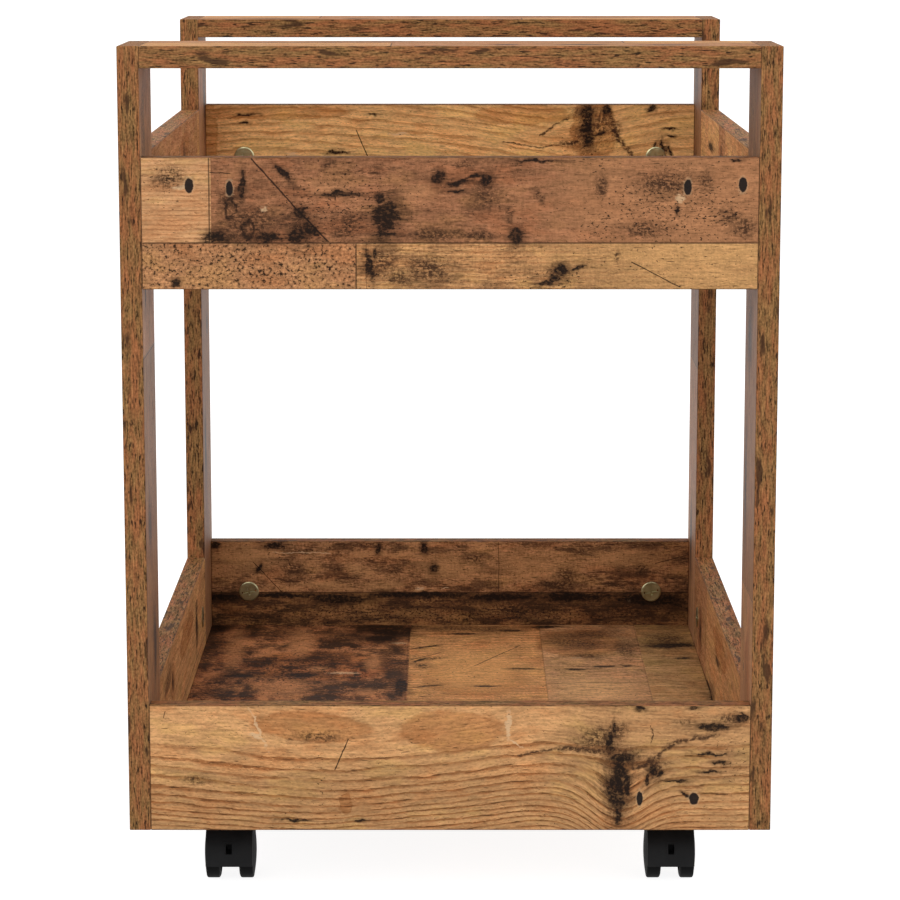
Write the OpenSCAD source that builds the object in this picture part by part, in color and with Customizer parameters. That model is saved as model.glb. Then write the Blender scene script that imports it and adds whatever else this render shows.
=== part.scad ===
// Office trolley in flat boards: four posts, two handle rails and two open trays,
// on four swivelling twin-wheel casters. Cam locks, cam bolts and dowels join the
// boards, and each caster hangs on a steel plate under the lower tray.
// X runs across, Y from front to back and Z up. The origin is on the ground, below
// the middle of the trolley. Sizes are in millimetres.

/* [Trolley] */
// Width over the outer faces of the posts
trolley_w = 450; // [400:5:560]
// Depth over the front and back posts
trolley_d = 600; // [500:5:760]
// Height of the post tops above the ground
trolley_h = 600; // [560:5:800]
// Thickness of every board
board_t = 15; // [15:1:19]

/* [Posts and trays] */
// Depth of each post and of each handle rail
post_d = 85; // [70:1:110]
// Free height between an upper tray board and the handle rail above it
hand_gap = 60; // [40:1:90]
// Height of the boards round each tray
tray_h = 90; // [75:1:120]

/* [Fittings] */
// Diameter of a cam lock
cam_d = 15; // [14:0.5:17]
// Distance from a board's end to the middle of its cam lock
cam_inset = 33; // [24:0.5:36]
// Diameter of a cam bolt's thread
bolt_d = 6; // [5:0.5:7]
// Spacing of the two cam locks along the front or back edge of a tray floor
floor_cam_pitch = 240; // [200:5:250]
// Diameter of a wooden dowel
dowel_d = 8; // [6:0.5:8]
// Length of a wooden dowel
dowel_l = 30; // [25:1:35]
// Spacing of the two dowels in the end of a tray board or rail
dowel_pitch = 54; // [44:1:58]
// Spacing of the two dowels along the side of a tray floor
floor_dowel_pitch = 200; // [120:5:260]

/* [Caster places] */
// Height of the lower tray's underside above the ground
caster_h = 53; // [50:0.5:60]
// Distance from a side of the trolley to the swivel axis
caster_in_x = 66.5; // [50:0.5:75]
// Distance from the front or back of the trolley to the swivel axis
caster_in_y = 78; // [76:0.5:100]

/* [Caster wheels] */
// Diameter of a wheel
wheel_d = 40; // [36:0.5:42]
// Width over the domed faces of a wheel pair
wheel_span = 37.1; // [35:0.1:40]
// Gap between the rims of a wheel pair
wheel_gap = 13.6; // [13:0.1:16]
// Diameter of the axle
axle_d = 6; // [5:0.5:6.5]
// Offset of the axle from the swivel axis
trail = 15; // [14:0.5:18]
// Number of ribs inside a wheel
wheel_ribs = 6; // [3:1:8]

/* [Caster hood and plate] */
// Wall of the curved fender over the wheels
fender_t = 2; // [1.5:0.1:2.5]
// Width of the slot in the fender
slot_w = 4.5; // [4:0.1:6]
// Height of the slot in the fender
slot_h = 7; // [5:0.1:9]
// Diameter of the swivel pin
pin_d = 8; // [6:0.5:8.5]
// Side of the square mounting plate
plate_w = 38; // [36:1:42]
// Thickness of the mounting plate
plate_t = 2; // [1.5:0.1:2.5]
// Spacing of the screw holes in the mounting plate
plate_pitch = 28; // [26:0.5:30]
// Diameter of a plate screw
screw_d = 3.5; // [3:0.1:4]

/* [Hidden] */
$fn = 48;
// Extra length of a cutting shape past the face that it opens
cut = 1;

// Radial gap round a piece that is pressed or screwed in
press_gap = 0.03;
// Radial gap of a turning fit
run_gap = 0.05;
// Gap between two faces that move past each other
face_gap = 0.3;

// Faces of the frame, from the middle of the trolley
half_w = trolley_w / 2;
half_d = trolley_d / 2;
inner_x = half_w - board_t;
inner_y = half_d - board_t;
side_end_y = half_d - post_d;
rail_y = half_d - post_d / 2;
lower_z = caster_h;
upper_z = trolley_h - board_t - hand_gap - tray_h;

// Cam lock: its bore runs this far past the bolt's axis
cam_past_axis = 5;
cam_depth = board_t / 2 + cam_past_axis;
cam_floor_gap = 0.3;
cam_r = cam_d / 2 - run_gap;
cam_rim_d = cam_d + 2.5;
cam_rim_t = 0.8;
cam_rim_bevel = 0.9;
cam_shell = 1.45;
cam_core_r = 2;
// Length, width and depth of the driver's cross recess and of the long slot through it
cam_cross = [6.4, 1.5, 2.2];
cam_slit = [13, 1.7, 1.2];
cam_slit_turn = 12;
// Angles round the cam's axis: the ends of its slot, and the way in for the head
cam_slot_from = 134;
cam_slot_to = 320;
cam_entry = 300;

// Cam bolt: its thread stays this far inside the far face of the board
bolt_cover = 4;
bolt_in = board_t - bolt_cover;
bolt_shank_d = bolt_d + 0.8;
bolt_hole_d = bolt_shank_d + 0.6;
bolt_neck_r = 1.6;
bolt_head_r = 2.8;
bolt_head_tip_r = 1.6;
// Length of the head's first cone, which the cam pulls on
bolt_cone_l = 1.5;
bolt_shoulder = 1;
bolt_point_r = 0.8;
bolt_point_l = 1.2;
bolt_step = 0.2;
bolt_end_gap = 0.5;
// Gaps round the head and the neck inside the cam
head_gap = 0.25;
neck_gap = 0.35;

// Dowel: its shorter end stays this far inside the far face of the board
dowel_cover = 5;
dowel_in = board_t - dowel_cover;
dowel_chamfer = 1;
dowel_end_gap = 0.5;

// Plate screw
screw_cover = 4;
screw_in = board_t - screw_cover;
screw_head_r = screw_d;
screw_head_h = 2.2;
screw_head_round = 1.2;
screw_point_h = 3;
// Length, width and depth of one arm of the cross recess
screw_drive = [3.6, 0.9, 1.1];

// Axle and wheels
wheel_r = wheel_d / 2;
axle_r = axle_d / 2;
axle_bore_r = axle_r + run_gap;
hub_wall = 3;
hub_r = axle_r + hub_wall;
wheel_out = wheel_span / 2;
rim_in = wheel_gap / 2;
// Distance from the inner side of a rim to the end of the hood's hub
hub_set = 0.8;
hub_half = rim_in - hub_set;
// Thickness of the dome over the axle's end, and the gap at that end
axle_cover = 2.2;
axle_end_gap = 0.4;
axle_end = wheel_out - axle_cover - axle_end_gap;
axle_bevel = 0.6;
dome_rise = 1.65;
dome_steps = 6;
shoulder_r = 1.4;
// Radial and axial size of the round on a rim's inner edge
lip_w = 3;
lip_h = 1.6;
lip_steps = 4;
rim_wall = 4.5;
rim_draft = 0.3;
disc_t = 2;
rib_t = 1.4;
rib_set = 2.2;
rib_lap = 0.6;

// Beads of the hub and the socket, and the grooves that they click into
bead_h = 0.25;
groove_h = 0.4;
bead_w = 1;
groove_w = 1.6;
// Distance of the bead from the end of the axle and of the pin
axle_bead_in = 2.5;
pin_bead_in = 6;
bead_x = axle_end - axle_bead_in;

// Hood
fender_gap = 1;
fender_in = wheel_r + fender_gap;
fender_out = fender_in + fender_t;
fender_half = wheel_out - dome_rise;
fender_round = 1.2;
fender_front = 15;
fender_rear = 196;
web_t = 3.2;
web_rib_angles = [105, 140];
boss_gap = 0.5;
boss_r = rim_in - boss_gap;
neck_wall = 2.4;
neck_r = boss_r + neck_wall;
neck_z = wheel_r + 8;
neck_bevel = 1;
neck_round = 1.5;
slot_z = wheel_r + 6.7;
slot_depth = 9;
slot_y = -sqrt(pow(fender_out, 2) - pow(slot_z - wheel_r, 2));
slot_frame = 0.9;
slot_frame_h = 0.5;

// Swivel pin and plate
collar_t = 2;
collar_r = pin_d / 2 + 3;
collar_bevel = 0.4;
// The pin's end is riveted into a countersink of this radius and depth
rivet_r = pin_d / 2 + 1.6;
rivet_t = 1.4;
pin_bevel = 0.8;
mouth_bevel = 0.6;
pin_z = caster_h - plate_t - collar_t;
boss_top = pin_z - face_gap;
pin_l = 29;
socket_end_gap = 0.8;
socket_l = pin_l + socket_end_gap;
boss_foot = 2.5;
boss_bottom = boss_top - socket_l - boss_foot;
pin_bead_z = pin_z - pin_l + pin_bead_in;
plate_round = 4;

WOOD = [0.62, 0.44, 0.27];
BEECH = [0.84, 0.7, 0.5];
ZINC = [0.72, 0.72, 0.7];
STEEL = [0.6, 0.61, 0.63];
PLASTIC = [0.14, 0.14, 0.15];

// Points of an arc about a centre, from angle a0 to angle a1 in n steps
function arc(centre, r, a0, a1, n) =
    [for (i = [0:n]) let (a = a0 + (a1 - a0) * i / n) centre + r * [cos(a), sin(a)]];

// A joint between two boards is [point, into, face]. The point is where the axis of
// the bolt or dowel crosses the plane in which the boards meet, "into" points along
// that axis into the board's end, and "face" points out of the face that has the cam.
function end_joint(sx, sy, z) =
    [[sx * inner_x, sy * (half_d - board_t / 2), z], [-sx, 0, 0], [0, -sy, 0]];
function side_joint(sx, sy, z) =
    [[sx * (half_w - board_t / 2), sy * side_end_y, z], [0, -sy, 0], [-sx, 0, 0]];
function rail_joint(sx, sy, dy = 0) =
    [[sx * inner_x, sy * rail_y + dy, trolley_h - board_t / 2], [-sx, 0, 0], [0, 0, -1]];
function floor_end_joint(x, sy, z) =
    [[x, sy * inner_y, z + board_t / 2], [0, -sy, 0], [0, 0, -1]];
function floor_side_joint(sx, y, z) =
    [[sx * inner_x, y, z + board_t / 2], [-sx, 0, 0], [0, 0, -1]];

BOTH = [-1, 1];
DOWEL_STEPS = [-dowel_pitch / 2, dowel_pitch / 2];

// Cam joints of one tray whose underside is at height z, on the sides xs and ys
function end_cams(z, xs = BOTH, ys = BOTH) =
    [for (sx = xs, sy = ys) end_joint(sx, sy, z + tray_h / 2)];
function side_cams(z, xs = BOTH, ys = BOTH) =
    [for (sx = xs, sy = ys) side_joint(sx, sy, z + tray_h / 2)];
function floor_cams(z, ys = BOTH) =
    [for (sx = BOTH, sy = ys) floor_end_joint(sx * floor_cam_pitch / 2, sy, z)];
function rail_cams(xs = BOTH, ys = BOTH) = [for (sx = xs, sy = ys) rail_joint(sx, sy)];

// Dowels of the same joints
function end_pegs(z, xs = BOTH, ys = BOTH) =
    [for (sx = xs, sy = ys, dz = DOWEL_STEPS) end_joint(sx, sy, z + tray_h / 2 + dz)];
function side_pegs(z, xs = BOTH, ys = BOTH) =
    [for (sx = xs, sy = ys, dz = DOWEL_STEPS) side_joint(sx, sy, z + tray_h / 2 + dz)];
function floor_end_pegs(z, ys = BOTH) = [for (sy = ys) floor_end_joint(0, sy, z)];
function floor_side_pegs(z, xs = BOTH) =
    [for (sx = xs, s = BOTH) floor_side_joint(sx, s * floor_dowel_pitch / 2, z)];
function rail_pegs(xs = BOTH, ys = BOTH) =
    [for (sx = xs, sy = ys, dy = DOWEL_STEPS) rail_joint(sx, sy, dy)];

// Puts children at a joint: X along "into" and Z along "face"
module at_joint(j) {
    y = cross(j[2], j[1]);
    multmatrix([
        [j[1][0], y[0], j[2][0], j[0][0]],
        [j[1][1], y[1], j[2][1], j[0][1]],
        [j[1][2], y[2], j[2][2], j[0][2]],
        [0, 0, 0, 1]]) children();
}

// Turns a shape that stands on Z so that it runs along X
module along_x() {
    rotate([0, 90, 0]) children();
}

// Turns a drawing in X and Y so that it lies in Y and Z, and its Z runs along X
module side_on() {
    rotate([90, 0, 90]) children();
}

// Bores of a cam joint: the cam's bore, the bolt's way to it and the bolt's pilot
module cam_bores(joints) {
    for (j = joints) at_joint(j) {
        translate([cam_inset, 0, board_t / 2 - cam_depth])
            cylinder(d = cam_d, h = cam_depth + cut);
        along_x() cylinder(d = bolt_hole_d, h = cam_inset);
        translate([-bolt_in - bolt_end_gap, 0, 0]) along_x()
            cylinder(r = bolt_d / 2 + press_gap, h = bolt_in + bolt_end_gap + cut);
    }
}

// Bores of a dowel joint, in both boards
module dowel_bores(joints) {
    for (j = joints) at_joint(j)
        translate([-dowel_in - dowel_end_gap, 0, 0]) along_x()
            cylinder(r = dowel_d / 2 + press_gap, h = dowel_l + 2 * dowel_end_gap);
}

// Cam lock in its closed position. The driver's slit and cross are in its face, and the
// hollow inside it holds the bolt's head behind a curved slot.
module cam_lock() {
    axis_z = -board_t / 2;
    hollow_r = cam_r - cam_shell;
    hollow_h = bolt_head_r + head_gap;
    slot_h = bolt_neck_r + neck_gap;
    translate([cam_inset, 0, board_t / 2]) difference() {
        rotate_extrude() polygon(concat(
            [[0, -cam_depth + cam_floor_gap], [cam_r, -cam_depth + cam_floor_gap], [cam_r, 0]],
            [[cam_rim_d / 2, 0], [cam_rim_d / 2, cam_rim_t / 2]],
            [[cam_rim_d / 2 - cam_rim_bevel, cam_rim_t], [0, cam_rim_t]]));
        cam_recess(cam_slit, cam_slit_turn);
        for (a = [0, 90]) cam_recess(cam_cross, cam_slit_turn + a);
        translate([0, 0, axis_z]) {
            rotate([0, 0, cam_slot_from])
                rotate_extrude(angle = cam_slot_to - cam_slot_from) polygon([
                [cam_core_r, -hollow_h], [hollow_r, -hollow_h], [hollow_r, -slot_h],
                [cam_r + cut, -slot_h], [cam_r + cut, slot_h],
                [hollow_r, slot_h], [hollow_r, hollow_h], [cam_core_r, hollow_h]]);
            rotate([0, 0, cam_entry]) translate([cam_core_r, 0, 0]) along_x()
                cylinder(r = hollow_h, h = cam_r);
        }
    }
}

// Box of length, width and depth sunk into the cam's face
module cam_recess(size, turn) {
    rotate([0, 0, turn]) translate([-size[0] / 2, -size[1] / 2, cam_rim_t - size[2]])
        cube([size[0], size[1], size[2] + cut]);
}

// Cam bolt: thread in the receiving board, shank, neck and a double-cone head
module cam_bolt() {
    head_x = cam_inset - cam_r + cam_shell + face_gap;
    tip_x = cam_inset - cam_core_r - face_gap;
    shank_end = cam_inset - cam_d / 2 - 2 * face_gap;
    along_x() rotate_extrude() polygon([
        [0, -bolt_in], [bolt_d / 2 - bolt_point_r, -bolt_in],
        [bolt_d / 2, -bolt_in + bolt_point_l], [bolt_d / 2, 0],
        [bolt_shank_d / 2, bolt_step], [bolt_shank_d / 2, shank_end - bolt_shoulder],
        [bolt_neck_r, shank_end], [bolt_neck_r, head_x],
        [bolt_head_r, head_x + bolt_cone_l], [bolt_head_tip_r, tip_x], [0, tip_x]]);
}

// Wooden dowel with bevelled ends
module dowel() {
    translate([-dowel_in, 0, 0]) along_x() rotate_extrude() polygon([
        [0, 0], [dowel_d / 2 - dowel_chamfer, 0], [dowel_d / 2, dowel_chamfer],
        [dowel_d / 2, dowel_l - dowel_chamfer], [dowel_d / 2 - dowel_chamfer, dowel_l],
        [0, dowel_l]]);
}

module cam_locks(joints) {
    color(ZINC) for (j = joints) at_joint(j) cam_lock();
}

module cam_bolts(joints) {
    color(STEEL) for (j = joints) at_joint(j) cam_bolt();
}

module dowels(joints) {
    color(BEECH) for (j = joints) at_joint(j) dowel();
}

// Cams and dowels of a whole tray
function tray_cams(z) = concat(end_cams(z), side_cams(z), floor_cams(z));
function tray_pegs(z) =
    concat(end_pegs(z), side_pegs(z), floor_end_pegs(z), floor_side_pegs(z));

// Upright post board at the side sx and the end sy
module post(sx, sy) {
    xs = [sx];
    ys = [sy];
    color(WOOD) difference() {
        translate([sx > 0 ? inner_x : -half_w, sy > 0 ? side_end_y : -half_d, lower_z])
            cube([board_t, post_d, trolley_h - lower_z]);
        cam_bores(concat(rail_cams(xs, ys), end_cams(lower_z, xs, ys),
            end_cams(upper_z, xs, ys), side_cams(lower_z, xs, ys), side_cams(upper_z, xs, ys)));
        dowel_bores(concat(rail_pegs(xs, ys), end_pegs(lower_z, xs, ys),
            end_pegs(upper_z, xs, ys), side_pegs(lower_z, xs, ys), side_pegs(upper_z, xs, ys)));
    }
}

// Flat handle rail between two posts
module handle_rail(sy) {
    color(WOOD) difference() {
        translate([-inner_x, sy > 0 ? side_end_y : -half_d, trolley_h - board_t])
            cube([2 * inner_x, post_d, board_t]);
        cam_bores(rail_cams(ys = [sy]));
        dowel_bores(rail_pegs(ys = [sy]));
    }
}

// Front or back board of a tray, between two posts
module end_board(z, sy) {
    color(WOOD) difference() {
        translate([-inner_x, sy > 0 ? inner_y : -half_d, z])
            cube([2 * inner_x, board_t, tray_h]);
        cam_bores(concat(end_cams(z, ys = [sy]), floor_cams(z, ys = [sy])));
        dowel_bores(concat(end_pegs(z, ys = [sy]), floor_end_pegs(z, ys = [sy])));
    }
}

// Side board of a tray, between a front and a back post
module side_board(z, sx) {
    color(WOOD) difference() {
        translate([sx > 0 ? inner_x : -half_w, -side_end_y, z])
            cube([board_t, 2 * side_end_y, tray_h]);
        cam_bores(side_cams(z, xs = [sx]));
        dowel_bores(concat(side_pegs(z, xs = [sx]), floor_side_pegs(z, xs = [sx])));
    }
}

// Floor of a tray
module tray_floor(z, has_casters) {
    color(WOOD) difference() {
        translate([-inner_x, -inner_y, z]) cube([2 * inner_x, 2 * inner_y, board_t]);
        cam_bores(floor_cams(z));
        dowel_bores(concat(floor_end_pegs(z), floor_side_pegs(z)));
        if (has_casters) at_plate_screws() translate([0, 0, -cut])
            cylinder(r = screw_d / 2 + press_gap, h = screw_in + cut + face_gap);
    }
}

// Puts children at a caster: the swivel axis is Z and the ground is at 0
module at_caster(sx, sy) {
    translate([sx * (half_w - caster_in_x), sy * (half_d - caster_in_y), 0]) children();
}

module at_screws() {
    for (dx = BOTH, dy = BOTH)
        translate([dx * plate_pitch / 2, dy * plate_pitch / 2, 0]) children();
}

// Puts children at each plate screw, at the height of the tray's underside
module at_plate_screws() {
    for (sx = BOTH, sy = BOTH) at_caster(sx, sy) at_screws()
        translate([0, 0, caster_h]) children();
}

// Pan-head screws that hold the plates, with a cross recess
module plate_screws() {
    head_z = -plate_t - screw_head_h;
    color(STEEL) at_plate_screws() difference() {
        rotate_extrude() polygon(concat(
            [[0, head_z]],
            arc([screw_head_r - screw_head_round, head_z + screw_head_round],
                screw_head_round, -90, 0, 4),
            [[screw_head_r, -plate_t], [screw_d / 2, -plate_t]],
            [[screw_d / 2, screw_in - screw_point_h], [0, screw_in]]));
        for (a = [0, 90]) rotate([0, 0, a])
            translate([-screw_drive[0] / 2, -screw_drive[1] / 2, head_z - cut])
                cube([screw_drive[0], screw_drive[1], screw_drive[2] + cut]);
    }
}

// Square steel plate with rounded corners, screw holes and a countersunk pin hole
module caster_plate() {
    c = plate_w / 2 - plate_round;
    outline = concat(
        arc([c, c], plate_round, 0, 90, 6), arc([-c, c], plate_round, 90, 180, 6),
        arc([-c, -c], plate_round, 180, 270, 6), arc([c, -c], plate_round, 270, 360, 6));
    color(STEEL) translate([0, 0, caster_h - plate_t]) difference() {
        linear_extrude(plate_t) polygon(outline);
        at_screws() translate([0, 0, -cut])
            cylinder(r = screw_d / 2 + face_gap, h = plate_t + 2 * cut);
        rotate_extrude() polygon([
            [0, -cut], [pin_d / 2 + press_gap, -cut],
            [pin_d / 2 + press_gap, plate_t - rivet_t], [rivet_r + press_gap, plate_t],
            [rivet_r + press_gap, plate_t + cut], [0, plate_t + cut]]);
    }
}

// A groove round a shaft of radius r, as points of its outline about the height at
function groove(r, at) = [
    [r, at - groove_w / 2], [r - groove_h, at - groove_w / 2],
    [r - groove_h, at + groove_w / 2], [r, at + groove_w / 2]];

// The bead of a bore for a shaft of radius r, as points of its outline
function bead(r, at) = [
    [r + run_gap, at - bead_w / 2], [r - bead_h, at - bead_w / 2],
    [r - bead_h, at + bead_w / 2], [r + run_gap, at + bead_w / 2]];

// Swivel pin: riveted over in the plate, with a thrust collar and a groove
module swivel_pin() {
    r = pin_d / 2;
    plate_top = collar_t + plate_t;
    color(STEEL) translate([0, 0, pin_z]) rotate_extrude() polygon(concat(
        [[0, -pin_l], [r - pin_bevel, -pin_l], [r, -pin_l + pin_bevel]],
        groove(r, pin_bead_in - pin_l),
        [[r, 0], [collar_r - collar_bevel, 0], [collar_r, collar_bevel]],
        [[collar_r, collar_t], [r, collar_t], [r, plate_top - rivet_t]],
        [[rivet_r, plate_top], [0, plate_top]]));
}

// Puts children at the axle: X stays along the axle
module at_axle() {
    translate([0, -trail, wheel_r]) children();
}

// Curved fender over both wheels, with a framed slot at the back
module fender() {
    h = fender_half;
    section = concat(
        [[fender_in, -h]],
        arc([fender_out - fender_round, -h + fender_round], fender_round, -90, 0, 5),
        arc([fender_out - fender_round, h - fender_round], fender_round, 0, 90, 5),
        [[fender_in, h]]);
    side_on() rotate([0, 0, fender_front])
        rotate_extrude(angle = fender_rear - fender_front) polygon(section);
    side_on() intersection() {
        translate([0, 0, -slot_w / 2 - slot_frame])
            cylinder(r = fender_out + slot_frame_h, h = slot_w + 2 * slot_frame);
        translate([slot_y - cut, slot_z - wheel_r - slot_h / 2 - slot_frame, -h])
            cube([fender_t + cut, slot_h + 2 * slot_frame, 2 * h]);
    }
}

// Slot through the fender and into the web behind it
module fender_slot() {
    translate([-slot_w / 2, slot_y - 2 * cut, slot_z - wheel_r - slot_h / 2])
        cube([slot_w, slot_depth + 2 * cut, slot_h]);
}

// Upright web between the wheels, its cross ribs and the hub that holds the axle
module hood_web() {
    reach = fender_in + face_gap;
    side_on() linear_extrude(web_t, center = true) intersection() {
        circle(r = reach);
        polygon([
            [-fender_out, reach * sin(fender_rear)], [0, -hub_r],
            [trail + boss_r - cut, boss_bottom - wheel_r + cut],
            [trail + boss_r - cut, fender_out], [-fender_out, fender_out]]);
    }
    for (a = web_rib_angles) side_on() rotate([0, 0, a])
        translate([0, -rib_t / 2, -hub_half]) cube([reach, rib_t, 2 * hub_half]);
    translate([-hub_half, 0, 0]) along_x() cylinder(r = hub_r, h = 2 * hub_half);
}

// Upright socket for the swivel pin, with a wider neck above the wheels
module hood_boss() {
    neck_h = boss_top - neck_z;
    translate([0, 0, boss_bottom]) cylinder(r = boss_r, h = boss_top - boss_bottom);
    difference() {
        translate([0, 0, neck_z]) rotate_extrude() polygon(concat(
            [[0, 0], [neck_r - neck_bevel, 0], [neck_r, neck_bevel]],
            arc([neck_r - neck_round, neck_h - neck_round], neck_round, 0, 90, 4),
            [[0, neck_h]]));
        at_axle() translate([-wheel_out, 0, 0]) along_x()
            cylinder(r = fender_in + fender_t / 2, h = 2 * wheel_out);
    }
}

// Bore for the swivel pin, with a bead that clicks into the pin's groove
module pin_socket() {
    r = pin_d / 2 + run_gap;
    rotate_extrude() polygon(concat(
        [[0, boss_top - socket_l], [r, boss_top - socket_l]],
        bead(pin_d / 2, pin_bead_z),
        [[r, boss_top - mouth_bevel], [r + mouth_bevel, boss_top]],
        [[r + mouth_bevel, boss_top + cut], [0, boss_top + cut]]));
}

// Moulded hood that carries the axle and turns on the swivel pin
module caster_hood() {
    color(PLASTIC) difference() {
        union() {
            at_axle() {
                fender();
                hood_web();
            }
            hood_boss();
        }
        pin_socket();
        at_axle() {
            fender_slot();
            translate([-hub_half - cut, 0, 0]) along_x()
                cylinder(r = axle_r + press_gap, h = 2 * (hub_half + cut));
        }
    }
}

// Axle: half of its outline, mirrored, with a groove near each end
module axle() {
    half = concat(groove(axle_r, bead_x),
        [[axle_r, axle_end - axle_bevel], [axle_r - axle_bevel, axle_end], [0, axle_end]]);
    other = [for (i = [len(half) - 1:-1:0]) [half[i][0], -half[i][1]]];
    color(STEEL) at_axle() along_x() rotate_extrude() polygon(concat(other, half));
}

// Wheel at the side s of the hood: a domed disc, a rim with rounded shoulders and a
// hub that clicks onto the axle. Its hollow side faces the hood and has radial ribs.
module wheel(s) {
    dome_edge = wheel_r - shoulder_r;
    dome_r = (pow(dome_edge, 2) + pow(dome_rise, 2)) / (2 * dome_rise);
    dome = [for (i = [0:dome_steps]) let (r = dome_edge * i / dome_steps)
        [r, wheel_out - dome_r + sqrt(pow(dome_r, 2) - pow(r, 2))]];
    shoulder = arc([dome_edge, wheel_out - dome_rise - shoulder_r], shoulder_r, 75, 0, 5);
    lip = [for (i = [0:lip_steps]) let (a = 90 * i / lip_steps)
        [wheel_r - lip_w * (1 - cos(a)), rim_in + lip_h * (1 - sin(a))]];
    rim_r = wheel_r - rim_wall;
    disc_in = wheel_out - dome_rise - disc_t;
    hub_in = hub_half + face_gap;
    bore_end = axle_end + axle_end_gap;
    hollow = concat(
        [[rim_r, rim_in], [rim_r + rim_draft, disc_in], [hub_r, disc_in]],
        [[hub_r - rim_draft, hub_in], [axle_bore_r, hub_in]],
        bead(axle_r, bead_x), [[axle_bore_r, bore_end], [0, bore_end]]);
    rib_x = rim_in + rib_set;
    color(PLASTIC) at_axle() rotate([0, 90 * s, 0]) {
        rotate_extrude() polygon(concat(dome, shoulder, lip, hollow));
        for (i = [0:wheel_ribs - 1]) rotate([0, 0, 360 * i / wheel_ribs])
            translate([hub_r - rib_lap, -rib_t / 2, rib_x])
                cube([rim_r - hub_r + 2 * rib_lap, rib_t, disc_in - rib_x + rib_lap]);
    }
}

post(-1, -1);  // front_left_post
post(1, -1);  // front_right_post
post(-1, 1);  // back_left_post
post(1, 1);  // back_right_post
handle_rail(-1);  // front_handle_rail
handle_rail(1);  // back_handle_rail
end_board(upper_z, -1);  // upper_front_board
end_board(upper_z, 1);  // upper_back_board
side_board(upper_z, -1);  // upper_left_board
side_board(upper_z, 1);  // upper_right_board
tray_floor(upper_z, false);  // upper_tray_floor
end_board(lower_z, -1);  // lower_front_board
end_board(lower_z, 1);  // lower_back_board
side_board(lower_z, -1);  // lower_left_board
side_board(lower_z, 1);  // lower_right_board
tray_floor(lower_z, true);  // lower_tray_floor
cam_locks(rail_cams());  // rail_cam_locks
cam_locks(tray_cams(upper_z));  // upper_cam_locks
cam_locks(tray_cams(lower_z));  // lower_cam_locks
cam_bolts(rail_cams());  // rail_cam_bolts
cam_bolts(tray_cams(upper_z));  // upper_cam_bolts
cam_bolts(tray_cams(lower_z));  // lower_cam_bolts
dowels(rail_pegs());  // rail_dowels
dowels(tray_pegs(upper_z));  // upper_dowels
dowels(tray_pegs(lower_z));  // lower_dowels
plate_screws();  // caster_plate_screws
at_caster(-1, -1) caster_plate();  // front_left_caster_plate
at_caster(-1, -1) swivel_pin();  // front_left_swivel_pin
at_caster(-1, -1) caster_hood();  // front_left_caster_hood
at_caster(-1, -1) axle();  // front_left_axle
at_caster(-1, -1) wheel(-1);  // front_left_wheel_left
at_caster(-1, -1) wheel(1);  // front_left_wheel_right
at_caster(1, -1) caster_plate();  // front_right_caster_plate
at_caster(1, -1) swivel_pin();  // front_right_swivel_pin
at_caster(1, -1) caster_hood();  // front_right_caster_hood
at_caster(1, -1) axle();  // front_right_axle
at_caster(1, -1) wheel(-1);  // front_right_wheel_left
at_caster(1, -1) wheel(1);  // front_right_wheel_right
at_caster(-1, 1) caster_plate();  // back_left_caster_plate
at_caster(-1, 1) swivel_pin();  // back_left_swivel_pin
at_caster(-1, 1) caster_hood();  // back_left_caster_hood
at_caster(-1, 1) axle();  // back_left_axle
at_caster(-1, 1) wheel(-1);  // back_left_wheel_left
at_caster(-1, 1) wheel(1);  // back_left_wheel_right
at_caster(1, 1) caster_plate();  // back_right_caster_plate
at_caster(1, 1) swivel_pin();  // back_right_swivel_pin
at_caster(1, 1) caster_hood();  // back_right_caster_hood
at_caster(1, 1) axle();  // back_right_axle
at_caster(1, 1) wheel(-1);  // back_right_wheel_left
at_caster(1, 1) wheel(1);  // back_right_wheel_right
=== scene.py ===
import math

import bpy
import numpy as np
from bpy.props import FloatProperty, FloatVectorProperty, PointerProperty
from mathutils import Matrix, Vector


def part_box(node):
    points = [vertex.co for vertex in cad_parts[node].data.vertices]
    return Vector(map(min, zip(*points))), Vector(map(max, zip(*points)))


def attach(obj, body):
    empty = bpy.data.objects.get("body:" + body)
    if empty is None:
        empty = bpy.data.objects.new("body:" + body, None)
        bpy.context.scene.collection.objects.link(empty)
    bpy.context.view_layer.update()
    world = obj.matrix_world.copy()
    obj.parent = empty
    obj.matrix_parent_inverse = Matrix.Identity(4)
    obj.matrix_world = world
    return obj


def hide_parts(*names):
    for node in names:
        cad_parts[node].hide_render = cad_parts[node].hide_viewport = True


bl_info = {
    "name": "Office Trolley",
    "version": (1, 0, 0),
    "blender": (4, 5, 0),
    "location": "3D View > Sidebar > Trolley",
    "description": "Dresses the boards, fittings and casters of a trolley and sets its stage",
    "category": "Object",
}

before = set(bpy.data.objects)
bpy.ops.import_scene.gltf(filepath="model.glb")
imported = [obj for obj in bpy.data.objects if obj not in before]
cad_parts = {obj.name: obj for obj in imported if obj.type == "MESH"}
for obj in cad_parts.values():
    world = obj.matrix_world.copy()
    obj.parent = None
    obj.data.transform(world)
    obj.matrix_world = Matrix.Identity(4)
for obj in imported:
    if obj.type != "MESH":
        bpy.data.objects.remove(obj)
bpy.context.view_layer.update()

MM = 0.001
CORNERS = ("front_left", "front_right", "back_left", "back_right")
AXES = {"X": 0, "Y": 1, "Z": 2}
SIDES = ("front", "back", "left", "right")
CAM_NODES = ("rail_cam_locks", "upper_cam_locks", "lower_cam_locks")

# In metres: points this close are one, this close to a side are on it, this close have no
# direction, and a cam's rim this close to a board's side stands on it
WELD = 1e-5
ON_SIDE = 1e-7
NO_DISTANCE = 1e-9
RIM_GAP = 1.5 * MM

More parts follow.
